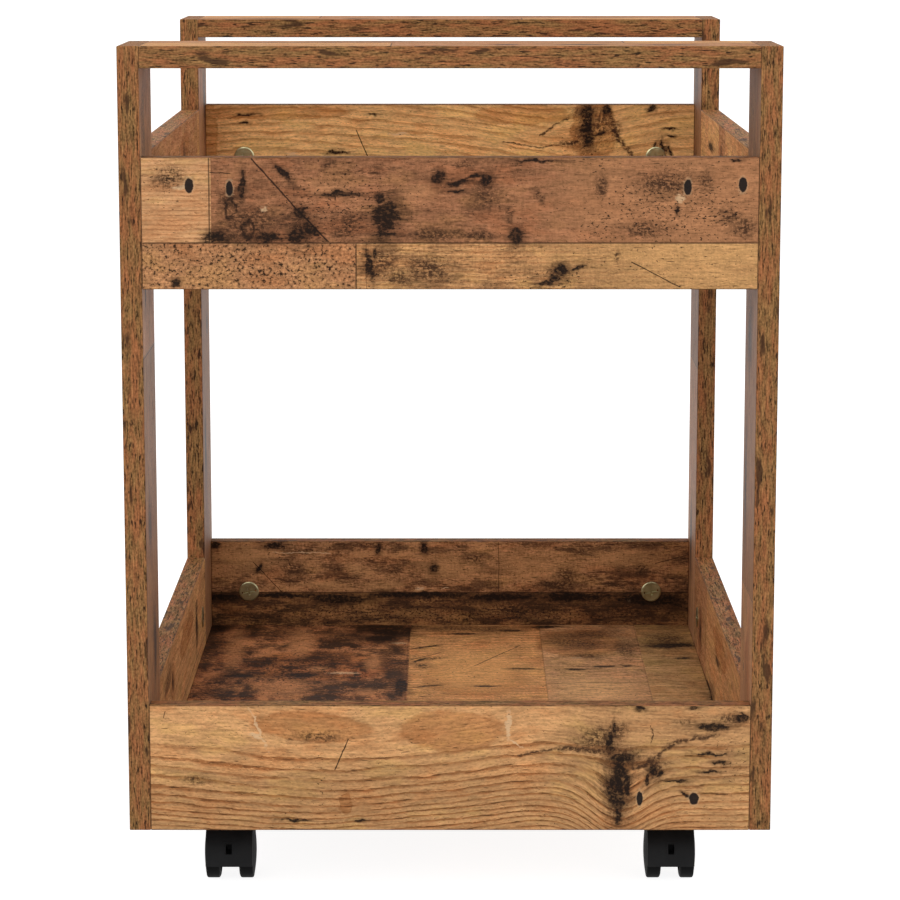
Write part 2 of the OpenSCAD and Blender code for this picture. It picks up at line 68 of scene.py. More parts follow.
# Where in the noise each group's decor starts, and the steps from one board to the next
SEEDS = {"posts": 3.0, "rails": 17.0, "upper": 29.0, "lower": 47.0}
DECOR_STEP = 1.7
BAND_STEP = 0.9

# The stage. The floor glows for the light on the object, and more for what is seen directly.
SENSOR_WIDTH = 36.0
LAMP_TARGET = (0.0, 0.0, 0.33)
FLOOR_ROUGHNESS = 0.9
FLOOR_GLOW = (0.13, 0.13, 0.13)
FLOOR_SEEN = (0.90, 0.90, 0.90)

# Depth in metres of a material's fine relief
PAPER_RELIEF = 0.00018
PLASTIC_RELIEF = 0.00006
METAL_RELIEF = 0.0005
BEECH_RELIEF = 0.0001

# How far a material's second tone is from its first, in red, green and blue
BAND_GREENER = (1.0, 1.12, 1.0)
BAND_REDDER = (0.98, 0.80, 0.76)
WORN_PLASTIC = (1.6, 1.6, 1.6)
CLOUDY_METAL = (0.72, 0.72, 0.72)
BEECH_FLECK = (0.6, 0.6, 0.6)


def colour(name, text, value):
    """A colour property, in the linear values that the shaders use."""
    return FloatVectorProperty(name=name, description=text, default=value, subtype="COLOR",
                               size=3, min=0, max=1)


def length(name, text, value):
    """A length property in metres."""
    return FloatProperty(name=name, description=text, default=value, unit="LENGTH", min=0)


def share(name, text, value):
    """A property from 0 to 1."""
    return FloatProperty(name=name, description=text, default=value, subtype="FACTOR",
                         min=0, max=1)


def power(name, text, value):
    """A lamp's power in watts."""
    return FloatProperty(name=name, description=text, default=value, unit="POWER", min=0)


class TrolleyBoardLook(bpy.types.PropertyGroup):
    """Edges and print colours of the boards."""

    edge_radius: length("Edge radius", "Radius of the boards' arrises", 0.0007)
    well_half: length("Well half-width", "Half width of the recess under a cam's rim", 0.0052)
    well_depth: length("Well depth", "Depth of the recess under a cam's rim", 0.003)
    bare_pine: colour("Bare pine", "Chips and rubbed edges of the print", (0.70, 0.46, 0.26))
    pale_pine: colour("Pale pine", "Lightest plank of the print", (0.55, 0.29, 0.135))
    tan_pine: colour("Tan pine", "Warm pine plank of the print", (0.52, 0.265, 0.112))
    # Its yellow hue is the print's; its lightness is partly painted light, in place of the shade
    # inside the upper tray, where it covers the back board.
    gold_pine: colour("Gold pine", "Yellowish pine plank of the print", (0.78, 0.46, 0.190))
    honey_pine: colour("Honey pine", "Light pine plank with marked rings", (0.595, 0.315, 0.136))
    light_brown: colour("Light brown", "Aged plank of the print", (0.40, 0.190, 0.085))
    red_brown: colour("Red brown", "Aged reddish plank of the print", (0.325, 0.140, 0.067))
    aged_brown: colour("Aged brown", "Plain aged plank of the print", (0.27, 0.122, 0.048))
    mid_brown: colour("Mid brown", "Edge bands of the boards", (0.262, 0.122, 0.050))
    russet: colour("Russet", "Stained plank of the print", (0.44, 0.182, 0.080))
    # Amber pine is set light: partly painted light, in place of the shade under the upper tray,
    # where it covers the lower floor.
    amber_pine: colour("Amber pine", "Warm plank of the lower floor", (0.62, 0.300, 0.118))
    olive_pine: colour("Olive pine", "Greenish pine plank of the print", (0.46, 0.262, 0.108))
    charred: colour("Charred", "Scorched wood of the print", (0.013, 0.0075, 0.0055))
    # Soot also paints the shade at the back of the lower tray's floor.
    soot: colour("Soot", "Smudges that the wood shows through", (0.050, 0.023, 0.012))
    print_sheen: share("Sheen", "Mirror strength of the printed paper", 0.06)
    post_sheen: share("Post sheen", "Mirror strength of the posts' paper", 0.5)


class TrolleyCasterLook(bpy.types.PropertyGroup):
    """Colours of the casters and the fittings."""

    hood_black: colour("Hood", "Moulded hood of a caster", (0.009, 0.009, 0.0094))
    wheel_black: colour("Wheel", "Moulded wheel of a caster", (0.005, 0.005, 0.0052))
    zinc: colour("Zinc", "Die-cast cam locks", (0.46, 0.43, 0.25))
    steel: colour("Steel", "Plates, pins, axles, bolts and screws", (0.56, 0.56, 0.55))
    beech: colour("Beech", "Wooden dowels", (0.62, 0.42, 0.22))


class TrolleyStage(bpy.types.PropertyGroup):
    """Camera, lamps and floor."""

    camera_distance: length("Camera distance", "Distance of the camera before the origin", 2.4705)
    camera_height: length("Camera height", "Height of the camera", 0.6933)
    camera_pitch: FloatProperty(name="Camera pitch", description="Angle that the camera looks down",
                                default=math.radians(9.658), subtype="ANGLE")
    camera_lens: FloatProperty(name="Lens", description="Focal length in mm on a 36 mm sensor",
                               default=127.97, min=1)
    key_power: power("Key lamp", "Power of the large lamp", 112)
    fill_power: power("Fill lamp", "Power of the front lamp", 56)
    side_power: power("Side lamps", "Power of each side lamp", 50)
    top_power: power("Top lamp", "Power of the overhead lamp", 60)
    ambient: share("Ambient", "Strength of the white surroundings", 0.68)
    floor_colour: colour("Floor", "Pale floor and backdrop", (0.34, 0.34, 0.34))


# Node trees


class Signal:
    """A socket of a material's node tree, which can be used in arithmetic.

    Each operation adds one Math node, and the other side is a number or a Signal.
    """

    def __init__(self, tree, socket=None):
        self.tree = tree
        self.socket = socket

    def node(self, kind, settings=None, inputs=None, output=0):
        """Adds a node. The settings are set first, then its sockets get values or links."""
        made = self.tree.nodes.new(kind)
        for key, value in (settings or {}).items():
            if key == "stops":
                set_stops(made.color_ramp, value)
            else:
                setattr(made, key, value)
        for key, value in (inputs or {}).items():
            if isinstance(value, Signal):
                self.tree.links.new(value.socket, made.inputs[key])
            else:
                made.inputs[key].default_value = value
        return Signal(self.tree, made.outputs[output])

    def math(self, operation, *values):
        return self.node("ShaderNodeMath", {"operation": operation}, dict(enumerate(values)))

    def __add__(self, other):
        return self.math("ADD", self, other)

    def __sub__(self, other):
        return self.math("SUBTRACT", self, other)

    def __rsub__(self, other):
        return self.math("SUBTRACT", other, self)

    def __mul__(self, other):
        return self.math("MULTIPLY", self, other)

    def __truediv__(self, other):
        return self.math("DIVIDE", self, other)

    __radd__ = __add__
    __rmul__ = __mul__

    def size(self):
        """The value without its sign."""
        return self.math("ABSOLUTE", self)

    def least(self, other):
        return self.math("MINIMUM", self, other)

    def most(self, other):
        return self.math("MAXIMUM", self, other)

    def above(self, limit):
        """1 where the value is over the limit, 0 elsewhere."""
        return self.math("GREATER_THAN", self, limit)

    def smooth(self, start, end):
        """Rises smoothly from 0 at start to 1 at end. With start over end it falls."""
        low, high, at_low, at_high = (start, end, 0, 1) if start < end else (end, start, 1, 0)
        return self.node("ShaderNodeMapRange", {"interpolation_type": "SMOOTHSTEP"},
                         {0: self, 1: low, 2: high, 3: at_low, 4: at_high})

    def steps(self, stops):
        """Colours that change at each stop (position, colour), with nothing in between."""
        return self.node("ShaderNodeValToRGB", {"stops": stops}, {0: self})

    def tint(self, factor, other):
        """This colour, mixed towards another by a factor."""
        return self.node("ShaderNodeMix", {"data_type": "RGBA"},
                         {0: factor, 6: self, 7: opaque(other)}, output=2)

    def stain(self, factor, gains):
        """This colour, mixed by a factor towards itself times the gains."""
        return self.tint(factor, self.vector("MULTIPLY", gains))

    def shade(self, factor):
        """This colour times a number."""
        return self.node("ShaderNodeVectorMath", {"operation": "SCALE"}, {0: self, 3: factor})

    def vector(self, operation, *values, output=0):
        return self.node("ShaderNodeVectorMath", {"operation": operation},
                         dict(enumerate((self, *values))), output)

    def noise(self, scale=1.0, detail=2.0, roughness=0.5, output=0):
        return self.node("ShaderNodeTexNoise", {"noise_dimensions": "3D"},
                         {"Vector": self, "Scale": scale, "Detail": detail,
                          "Roughness": roughness}, output)

    def streaks(self, scales, offset=None, detail=2.0, roughness=0.5):
        """Noise with its own number of features per metre along each axis."""
        if offset:
            stretched = self.vector("MULTIPLY_ADD", scales, offset)
        else:
            stretched = self.vector("MULTIPLY", scales)
        return stretched.noise(detail=detail, roughness=roughness)


def set_stops(ramp, stops):
    """Fills a colour ramp that steps at each stop."""
    ramp.interpolation = "CONSTANT"
    while len(ramp.elements) < len(stops):
        ramp.elements.new(1.0)
    for element, (position, shade) in zip(ramp.elements, stops):
        element.position = position
        element.color = shade if len(shade) == 4 else opaque(shade)


def opaque(shade):
    """A colour with full alpha, where it is a plain tuple or property."""
    return shade if isinstance(shade, Signal) else (*tuple(shade)[:3], 1.0)


def new_material(name):
    """An empty principled material: the material, a pen for its tree and its shader."""
    made = bpy.data.materials.new(name)
    made.use_nodes = True
    tree = made.node_tree
    return made, Signal(tree), tree.nodes["Principled BSDF"]


def feed(shader, socket, signal):
    signal.tree.links.new(signal.socket, shader.inputs[socket])


def bumped(shader, height, distance, strength=0.5):
    """Links a height signal to the shader's normal. The distance is in metres."""
    feed(shader, "Normal", height.node("ShaderNodeBump", {}, {
        "Height": height, "Distance": distance, "Strength": strength}))


def mixed(pen, factor, first, second):
    """A plain colour, mixed by a factor towards a second one."""
    return pen.node("ShaderNodeMix", {"data_type": "RGBA"},
                    {0: factor, 6: opaque(first), 7: opaque(second)}, output=2)


def times(shade, gains):
    """A plain colour with its channels multiplied."""
    return [channel * gain for channel, gain in zip(shade, gains)]


def object_place(pen):
    return pen.node("ShaderNodeTexCoord", output="Object")


def split(vector):
    """The three components of a vector signal."""
    parts = vector.node("ShaderNodeSeparateXYZ", {}, {0: vector})
    owner = parts.socket.node
    return [Signal(vector.tree, owner.outputs[i]) for i in range(3)]


def join(a, b, c):
    """A vector signal of three components."""
    return a.node("ShaderNodeCombineXYZ", {}, {0: a, 1: b, 2: c})


# The printed old-wood decor

# Each board has a plan of its print, in millimetres from the middle of the board. "axes" names
# the directions along the grain, across the face and through it. "rows" run from the bottom of
# the face up, each with the height of its top and its planks: (end, tone, growth lines, dirt,
# worm holes), where the last three run from 0 to about 1.

# "rings" is the spacing of the growth lines and how much it tightens towards the bottom, where it
# isn't the usual one. "calm" gives two heights: no lines above the first, all of them below the
# second. "swells" are places where the lines rise: (place, half-width, height). "dips" are places
# where they sink into a branch scar: (place, half-width, depth, height where it starts, height
# where it is full). "stretch" widens the fibres where it is under 1, "mottle" is the number of
# blotches in a metre along the grain and across it, and "joint" is how dark the plank joints are.

# The other lists hold marks: (along, across, half-length, half-height, turn in degrees). "dims",
# "reds" and "pales" are darker, redder and lighter areas, "rings_worn" the rims of worn ovals,
# and "pits" areas with many specks. "holes" have clean edges and the rest ragged ones. A crack
# or vein is (along, across, along, across, width).
END = 1000
PLANS = {
    "upper_front_board": {
        "axes": "XZY",
        "rings": (3.4, 0.0),
        "rows": [
            (-13.2, [(-64, "light_brown", 0.0, 0.0, 1.0), (END, "tan_pine", 0.6, 0.62)]),
            (END, [(-163.7, "pale_pine", 0.5, 0.0), (END, "red_brown", 0.1, 0.6)])],
        "dims": [(168, -35, 110, 30)],
        "pales": [(112, 14, 50, 40), (182, 12, 100, 84), (-84, 24, 16, 5), (-20, 22, 14, 6)],
        "burns": [
            (-44, 3, 8.5, 13), (-48, 17, 3.6, 4), (-102, 8, 4, 4), (-105, -8, 9, 6),
            (-96, -4, 6, 3, -45), (-113, 34, 9, 2.2, -45), (-75, 20.6, 10, 1.6), (-122, -9, 9, 4),
            (-160, -9, 7, 4), (-92, -5, 6, 2.5, -45), (-141, 26, 1.8, 9), (-8, 32.3, 3.4, 6, -12),
            (4.5, 28, 8, 2.2, 10), (15.6, 32, 6, 0.9, 10), (4.5, 22, 7, 1.1), (45, -7.5, 5, 5.5),
            (24.3, 29.6, 3.4, 4.2), (59, 42.6, 14, 0.9), (-54.6, -29.5, 2.8, 11, 12),
            (-50.6, -20, 1.8, 3), (76, -32, 3.6, 3.6), (71, -38, 3, 2.6), (65, -41, 6, 1.6),
            (88, -29.6, 5, 1.2, 15), (-187, -40.5, 3.4, 3), (193.8, 43, 4, 0.9),
            (154, 9.5, 1.3, 3)],
        "smudges": [
            (-190, 32, 14, 9), (-135, 0, 28, 16), (-67, 2, 12, 8), (-83, 41, 6, 3), (-71, 34, 9, 2),
            (-12, -8, 26, 5), (20, -8, 16, 4), (10.8, 40.5, 12, 4), (61, 19, 3, 8, 30),
            (146, 28, 24, 12), (189, 6, 9, 6), (-150, 15, 12, 12), (-36, -37, 12, 8),
            (24, 20, 14, 12), (-14, -31, 20, 12), (-46, -26, 12, 14), (-72, -4, 13, 8),
            (74, -34, 9, 8), (130, -4, 20, 6), (200, -3, 9, 8), (-102, -3, 15, 12),
            (-140, -9, 30, 5), (103, 24, 5, 9), (174, 28, 7, 9), (40, 5, 3, 8), (114, -23, 2.5, 5)],
        "rings_worn": [(-149.3, 10.6, 3.2, 6), (-137.4, -4, 3.2, 6)],
        "holes": [
            (-177.2, 26, 2.9, 5), (-149.7, 24, 2.3, 5), (161.5, 24.8, 2.6, 5),
            (198.9, 26.7, 2.8, 4.8)],
        "chips": [(156.4, 17, 3.2, 4.2), (-183, 24, 5, 1.6, 15), (-126, 10.5, 2.4, 2)],
        "cracks": [
            (-134.5, 43.8, -104.3, 10, 1.0), (-104.3, 10, -83, -12, 1.0),
            (-163, 34.8, -149, 34.2, 0.5), (124, -26.4, 156.4, -43.1, 0.7),
            (-57.2, -13, -57.2, -45, 0.3)],
        "pits": [
            (-197, 30, 12, 20), (-137, -29, 85, 22), (103, -2, 18, 12), (147, 4, 16, 10),
            (103, 36, 8, 7), (48, -36, 6, 8), (70, -38, 26, 8), (-75, 12, 60, 28), (188, 6, 14, 16),
            (150, 10, 60, 30)],
    },
    "lower_front_board": {
        "axes": "XZY",
        "rings": (6.2, 0.0075),
        "calm": (22, 13),
        "swells": [(-75, 80, -5), (62, 42, 6)],
        "dips": [(118, 24, 17, 14, -26)],
        "rows": [(END, [(END, "honey_pine", 1.0, 0.1)])],
        "dims": [(-60, -42, 260, 46), (150, 16, 78, 46)],
        "reds": [(-98, 29.6, 39, 10, -4), (2, 27, 34, 14), (-73, -26, 4, 8)],
        "burns": [
            (112, 18, 3, 6), (115, 28, 1.2, 6), (119, 8, 8, 3), (119, -2, 6, 8),
            (117, -16, 6.5, 15), (124, -12, 3, 9), (118, -34, 2.6, 7), (142, -2, 2.6, 4),
            (147, -4, 1.6, 3), (138, -9, 1.6, 4), (183.7, 29.6, 11, 3, 4), (204, 37, 5, 3, 20),
            (132.6, 43.4, 3.4, 2), (170, 43.4, 3, 1.4), (165, -19, 4, 1, -30),
            (-108, -37.4, 10, 1.1, -2), (-64, -37.6, 4, 1.1), (181, 10, 12, 1), (188, 3.6, 4, 1.4),
            (182, -2.7, 7, 1), (158, -9.5, 7, 0.8)],
        "smudges": [
            (118, -10, 14, 33), (106, 22, 18, 11), (116, 26, 9, 12), (164, 34, 6, 3),
            (-92, 23, 22, 4.4), (-178, -9, 12, 3), (118, -30, 12, 12), (120, 6, 16, 12),
            (143, 0, 9, 10), (196, 36, 14, 5)],
        "chips": [
            (41, 30, 2, 11), (-136, 23, 7, 2, -20), (46, 18, 6, 0.8, -30),
            (-133.3, 27, 15, 1, -68)],
        "veins": [
            (128, 0, 138, 3, 2.6), (138, 3, 158, 19, 2.4), (158, 19, 186, 23.5, 1.9),
            (48, 9, 76, 14.5, 1.4), (76, 14.5, 112, 11, 2.2), (141, 30, 141, 18, 0.8)],
        "holes": [(171, -22, 3.3, 4.2), (133, -22, 2.1, 5)],
        "cracks": [(-71, 21, -80.5, -1, 0.8), (-199, 41, -200, 36, 0.4)],
        "pits": [(-91, -16, 4, 22), (143, -2, 7, 9), (198, 8, 14, 24)],
    },
    "upper_back_board": {
        "axes": "XZY",
        "rings": (8.2, 0.0),
        "swells": [(-85, 110, 7), (85, 55, -9), (190, 40, 5)],
        # The gold pine is set light: partly painted light, in place of the tray's own shade on this
        # board.
        "rows": [(END, [(END, "gold_pine", 0.75, 0.1)])],
        "reds": [(123, 22, 18, 27), (60, 36, 40, 8), (-150, 38, 60, 6), (-209, 10, 9, 44)],
        "burns": [
            (117.5, 30, 5, 14), (134.5, 41, 2.6, 4.4), (119, 16, 4, 6), (129, 20, 5, 1.6, 20),
            (173.4, 41.5, 3, 3), (-177, 36, 9, 0.9), (-177, 29.4, 5, 0.9), (-97, 4, 8, 1.2),
            (188, 24.3, 5, 0.8), (191, 18, 4, 1.0), (-67, 36.6, 4, 0.8), (175, 7, 1.3, 6, -24),
            (183, 9, 1.3, 6, 6), (189, 5, 1.3, 5, 30)],
        "smudges": [
            (118, 26, 14, 25), (130, 28, 10, 18), (142, 22, 5, 10), (104, 12, 16, 3),
            (183, 6, 8, 6)],
        "chips": [(-134, 2.6, 5, 1.6), (-44, 20, 8, 1.2)],
        "cracks": [(-80.5, 23, -71, 0.7, 0.9)],
        "veins": [
            (137.6, 36, 140, 24, 2.2), (140, 24, 146, 14, 3), (146, 14, 156, 2, 2.2),
            (46, 12.7, 78, 8.6, 1.0), (78, 8.6, 111, 13, 1.3), (78, 19.3, 101, 34, 1.0)],
        "pits": [(120, 10, 30, 16)],
    },
    "lower_back_board": {
        "axes": "XZY",
        "rings": (5, 0.0),
        "rows": [(-1, [(END, "aged_brown", 0.1, 1.0)]), (END, [(END, "light_brown", 0.1, 0.92)])],
        "burns": [
            (-62.3, 38.6, 2.8, 4.6), (-22.4, 38.6, 2.8, 5.6), (-14.4, 21, 3.6, 4),
            (-154, 41, 10, 2.6), (-206, 41.5, 3, 3), (-198, -5, 16, 3), (-150, -3.6, 30, 2),
            (-98, -6, 22, 4), (-23, -3, 44, 2.4), (46, -5, 30, 3.4), (108, -5, 30, 4.4),
            (176, -7, 30, 5), (-168, 21, 2, 4, -30)],
        "smudges": [
            (103.7, 14.7, 10, 9), (167, 20, 9, 7), (-74, 42, 14, 3), (-198, -6, 18, 6),
            (-110, -14, 16, 5), (-10, -8, 60, 6), (60, -16, 40, 10), (160, -16, 50, 12),
            (-60, -24, 30, 4), (92, 6, 24, 5), (20, 30, 14, 6), (-138, 22, 12, 8)],
        "pales": [
            (-186, 31, 40, 15), (-110, 6, 26, 4), (-56, 6, 22, 4), (0, 22, 34, 14),
            (70, 24, 36, 14), (150, 30, 40, 10), (-84, 20, 10, 6), (-30, -20, 18, 5)],
        "chips": [(-129, 34.7, 24, 0.5), (-27, 3, 5, 1.5), (-5, 3, 4, 0.8), (158, -8, 1.5, 3)],
        "cracks": [
            (-172.7, 26.3, -148, -0.6, 0.6), (180.6, 25.3, 209, 32.8, 0.6),
            (42.7, 45, 42.7, 0, 0.4)],
        "pits": [(0, -20, 215, 10)],
    },
    "lower_tray_floor": {
        "axes": "XYZ",
        "rings": (9, 0.0),
        "stretch": 0.42,
        "mottle": (46, 62),
        "joint": 0.3,
        # The amber pine plank is set light: partly painted light, in place of the shade under the
        # upper tray.
        "rows": [(END, [(-36, "russet", 0.2, 1.1), (78.5, "amber_pine", 0.6, 0.5),
                        (161.7, "pale_pine", 0.25, 0.45), (END, "olive_pine", 0.3, 0.35)])],
        "burns": [
            (-52, 266, 22, 24), (-122, 98, 13, 7), (-174, 96, 12, 6), (-62, 232, 14, 12),
            (-40, 60, 5, 30), (-205, 270, 12, 16), (128, 128, 11, 3), (190, 205, 22, 8),
            (213, 22, 6, 10), (196, 158, 7, 3), (104, 118, 6, 2.4), (148, 130, 6, 2.4),
            (84, 276, 12, 5), (-20, 200, 12, 2, 30), (-26, 150, 9, 2, 60), (10, 250, 14, 3),
            (52, 262, 12, 3), (30, 60, 9, 2), (-20, 60, 10, 2, 20), (60, 120, 10, 2)],
        # The smudges at the back of planks 2 to 4, at (20, 268), (112, 215), (122, 246), (150, 190)
        # and (186, 225), are painted shade near the back board; the others are dirt.
        "smudges": [
            (-47, 140, 13, 110), (-90, 55, 24, 30), (-205, 190, 10, 90), (-160, 256, 26, 22),
            (-90, 236, 24, 26), (-100, 165, 20, 16), (-160, 140, 16, 18), (-190, 40, 18, 18),
            (112, 215, 30, 30), (150, 190, 12, 40), (20, 268, 56, 14), (-12, 158, 16, 5, 30),
            (118, 168, 24, 12), (-24, 130, 8, 12), (186, 225, 28, 46), (122, 246, 38, 24)],
        "reds": [(-110, 130, 60, 50), (110, 215, 34, 50), (20, 90, 40, 60)],
        "pales": [
            (-128, 215, 12, 56), (-183, 190, 9, 80), (-133, 55, 24, 34), (-64, 143, 9, 30),
            (-68, 40, 10, 14), (20, 110, 50, 80), (118, 50, 40, 40), (-110, 120, 10, 10)],
        "chips": [(-88, 105, 14, 4), (-45, 214, 7, 3), (106, 160, 5, 2)],
        "cracks": [(20, 130, 60, 205, 1.0), (78.5, 70, 161.7, 74, 0.9), (-36, 150, -8, 178, 1.2)],
        "pits": [(-130, 120, 50, 60)],
    },
    "upper_tray_floor": {
        "axes": "XYZ",
        "rings": (9, 0.0),
        "rows": [(-150, [(-80, "red_brown", 0.2, 0.6), (END, "tan_pine", 0.5, 0.25)]),
                 (40, [(-20, "tan_pine", 0.5, 0.3), (120, "light_brown", 0.4, 0.5),
                       (END, "honey_pine", 0.5, 0.25)]),
                 (END, [(-130, "light_brown", 0.3, 0.45), (50, "aged_brown", 0.3, 0.6),
                        (END, "tan_pine", 0.45, 0.25)])],
        "knots": [(60, -210, 10, 9), (-120, -60, 12, 12)],
        "burns": [
            (-40, 160, 26, 6), (150, 80, 12, 5), (-60, 90, 16, 3), (-170, 60, 8, 10),
            (110, 220, 20, 4)],
        "smudges": [(-40, 150, 60, 40), (120, 60, 50, 30), (-160, -200, 40, 50)],
        "holes": [(-170, 100, 3, 2.4), (20, -30, 3, 2.4)],
        "cracks": [(-90, 10, -20, -24, 0.7), (60, 190, 130, 170, 0.7)],
        "pits": [(-150, 180, 60, 80), (90, -60, 80, 60)],
    },
    "upper_left_board": {
        "axes": "YZX",
        "swells": [(-30, 120, 9)],
        "rows": [(END, [(-70, "light_brown", 0.45, 0.35), (190, "light_brown", 0.5, 0.25),
                        (END, "tan_pine", 0.35, 0.3)])],
        "knots": [(-130, 12, 10, 11)],
        "reds": [(-200, -10, 44, 14), (70, 26, 40, 10)],
        "burns": [(60, 5, 5, 12), (120, -20, 14, 3), (-30, -38, 20, 2)],
        "smudges": [(64, 0, 20, 26), (-240, 20, 24, 12), (150, -24, 26, 8)],
        "holes": [(20, 25, 2, 3)],
        "cracks": [(-40, 30, -10, 4, 0.6)],
        "pits": [(100, 10, 60, 30)],
    },
    "upper_right_board": {
        "axes": "YZX",
        "rows": [(END, [(-23, "honey_pine", 0.4, 0.25), (33.5, "light_brown", 0.3, 0.45),
                        (136, "honey_pine", 0.4, 0.1), (END, "honey_pine", 0.35, 0.25)])],
        "knots": [(120, -14, 8, 10)],
        "reds": [(-160, 16, 50, 14), (220, -18, 40, 12)],
        "burns": [(-35, 8, 4, 12), (110, 22, 20, 2.5), (-210, -30, 16, 3)],
        "smudges": [(10, 16, 16, 20), (-120, -22, 30, 10), (120, -12, 12, 12), (230, 22, 20, 10)],
        "holes": [(-120, 20, 2, 3), (190, 12, 2, 3)],
        "cracks": [(-90, 36, -52, 10, 0.6)],
        "pits": [(-100, 0, 60, 30), (200, 0, 60, 30)],
    },
    "lower_left_board": {
        "axes": "YZX",
        "rows": [(-20, [(10, "light_brown", 0.35, 0.4), (END, "tan_pine", 0.35, 0.3)]),
                 (END, [(END, "tan_pine", 0.5, 0.3)])],
        "knots": [(-110, 14, 10, 9)],
        "reds": [(20, 22, 60, 12)],
        "burns": [(120, 8, 6, 14), (-60, -28, 22, 3), (230, 30, 14, 3)],
        "smudges": [(122, 6, 16, 26), (-150, 26, 40, 10), (-230, -10, 20, 20)],
        "cracks": [(20, 36, 54, 10, 0.6)],
        "pits": [(60, 20, 70, 20)],
    },
    "lower_right_board": {
        "axes": "YZX",
        "swells": [(-120, 80, 8)],
        "rows": [(END, [(90, "tan_pine", 0.5, 0.3), (END, "light_brown", 0.35, 0.4)])],
        "knots": [(150, -6, 9, 12)],
        "reds": [(-40, 24, 60, 12)],
        "burns": [(-20, 10, 14, 3), (60, -30, 26, 2.6), (-240, 0, 4, 12)],
        "smudges": [(150, -4, 20, 22), (-236, 4, 16, 22), (20, -26, 40, 8)],
        "holes": [(-150, 22, 2, 3)],
        "pits": [(-90, 0, 60, 30)],
    },
    "front_handle_rail": {
        "axes": "XYZ",
        "rings": (7, 0.0),
        "rows": [(10, [(-40, "tan_pine", 0.4, 0.3), (END, "light_brown", 0.35, 0.35)]),
                 (END, [(120, "light_brown", 0.35, 0.35), (END, "tan_pine", 0.45, 0.3)])],
        "knots": [(40, -20, 9, 8)],
        "burns": [(-120, 20, 20, 3), (90, -18, 14, 4)],
        "smudges": [(-60, 24, 40, 12), (150, -24, 30, 12)],
        "pits": [(-90, -20, 60, 20)],
    },
    "back_handle_rail": {
        "axes": "XYZ",
        "rings": (7, 0.0),
        "rows": [(-12, [(60, "light_brown", 0.35, 0.35), (END, "tan_pine", 0.4, 0.3)]),
                 (END, [(-110, "tan_pine", 0.4, 0.3), (END, "light_brown", 0.35, 0.35)])],
        "knots": [(-30, 14, 9, 8)],
        "burns": [(130, 14, 22, 3), (-80, -24, 12, 4)],
        "smudges": [(60, 20, 40, 12), (-150, -20, 30, 12)],
        "pits": [(100, -16, 60, 20)],
    },
    "front_left_post": {
        "axes": "ZYX",
        "swells": [(-150, 60, 7)],
        "rows": [(END, [(60, "aged_brown", 0.4, 0.4), (END, "light_brown", 0.4, 0.4)])],
        "knots": [(-60, -14, 12, 9)],
        "reds": [(150, 10, 60, 16)],
        "burns": [(-150, 12, 16, 5), (110, -20, 22, 3)],
        "smudges": [(-150, 10, 40, 16), (-60, -12, 26, 18), (220, -20, 40, 14)],
        "holes": [(180, 16, 3, 2), (-220, -10, 3, 2)],
        "cracks": [(20, 30, 62, 6, 0.6)],
        "pits": [(-10, 10, 90, 30)],
    },
    "front_right_post": {
        "axes": "ZYX",
        "swells": [(150, 70, -7)],
        "rows": [(END, [(-110, "light_brown", 0.4, 0.35), (END, "aged_brown", 0.45, 0.4)])],
        "knots": [(70, 10, 12, 9)],
        "reds": [(-190, -8, 50, 16)],
        "burns": [(160, -12, 20, 4), (-30, 24, 26, 3)],
        "smudges": [(160, -10, 44, 16), (70, 8, 26, 18), (-40, 22, 50, 10)],
        "holes": [(-170, 18, 3, 2), (226, 12, 3, 2)],
        "pits": [(120, 10, 90, 30)],
    },
    "back_left_post": {
        "axes": "ZYX",
        "rows": [(END, [(130, "aged_brown", 0.45, 0.35), (END, "light_brown", 0.35, 0.4)])],
        "knots": [(10, 16, 11, 9)],
        "reds": [(-150, -12, 60, 16)],
        "burns": [(-90, -18, 18, 4), (200, 20, 18, 3)],
        "smudges": [(-90, -16, 44, 14), (200, 16, 36, 14)],
        "holes": [(-200, 12, 3, 2)],
        "pits": [(-140, 10, 80, 30)],
    },
    "back_right_post": {
        "axes": "ZYX",
        "swells": [(20, 80, 8)],
        "rows": [(END, [(-20, "light_brown", 0.4, 0.4), (END, "aged_brown", 0.4, 0.4)])],
        "knots": [(150, 14, 12, 10)],
        "burns": [(-180, 10, 18, 4), (90, -22, 24, 3)],
        "smudges": [(-180, 8, 40, 16), (90, -20, 50, 12), (220, 10, 30, 20)],
        "cracks": [(-90, -30, -52, -8, 0.6)],
        "pits": [(20, 0, 100, 34)],
    },
}


# How much each layer of the print multiplies red, green and blue
REDDER = (0.94, 0.76, 0.66)
GREENER = (1.08, 1.16, 0.98)
LATE_WOOD = (0.52, 0.38, 0.29)
BLOTCHED = (1.45, 1.5, 1.4)
SHADED_FIBRE = (0.42, 0.33, 0.27)
LIT_FIBRE = (1.45, 1.55, 1.5)
RUBBED_CLEAN = (1.35, 1.48, 1.5)
RED_STAIN = (0.76, 0.63, 0.53)
STAIN_RIM = (0.60, 0.48, 0.40)
PALE_AREA = (1.25, 1.34, 1.26)
KNOT_HALO = (0.72, 0.52, 0.42)

HOLE_BLACK = (0.008, 0.007, 0.008)
JOINT_FADE = (0.0008, 0.0002)
JOINT_DARKNESS = 0.72
PLAIN_MOTTLE = (36, 110)
PLAIN_RINGS = (8, 0.0)
PAPER_ROUGHNESS = 0.60


def plank_shift(row, plank):
    """A number from 0 to 1 that sets a plank's noise apart from its neighbours'."""
    return (0.13 + 0.31 * plank + 0.17 * row) % 1


def plank_traits(plank):
    """A plank's growth lines, dirt and worm holes. Most planks have no worm holes."""
    _, _, lines, dirt, *worms = plank
    return lines, dirt, worms[0] if worms else 0.0


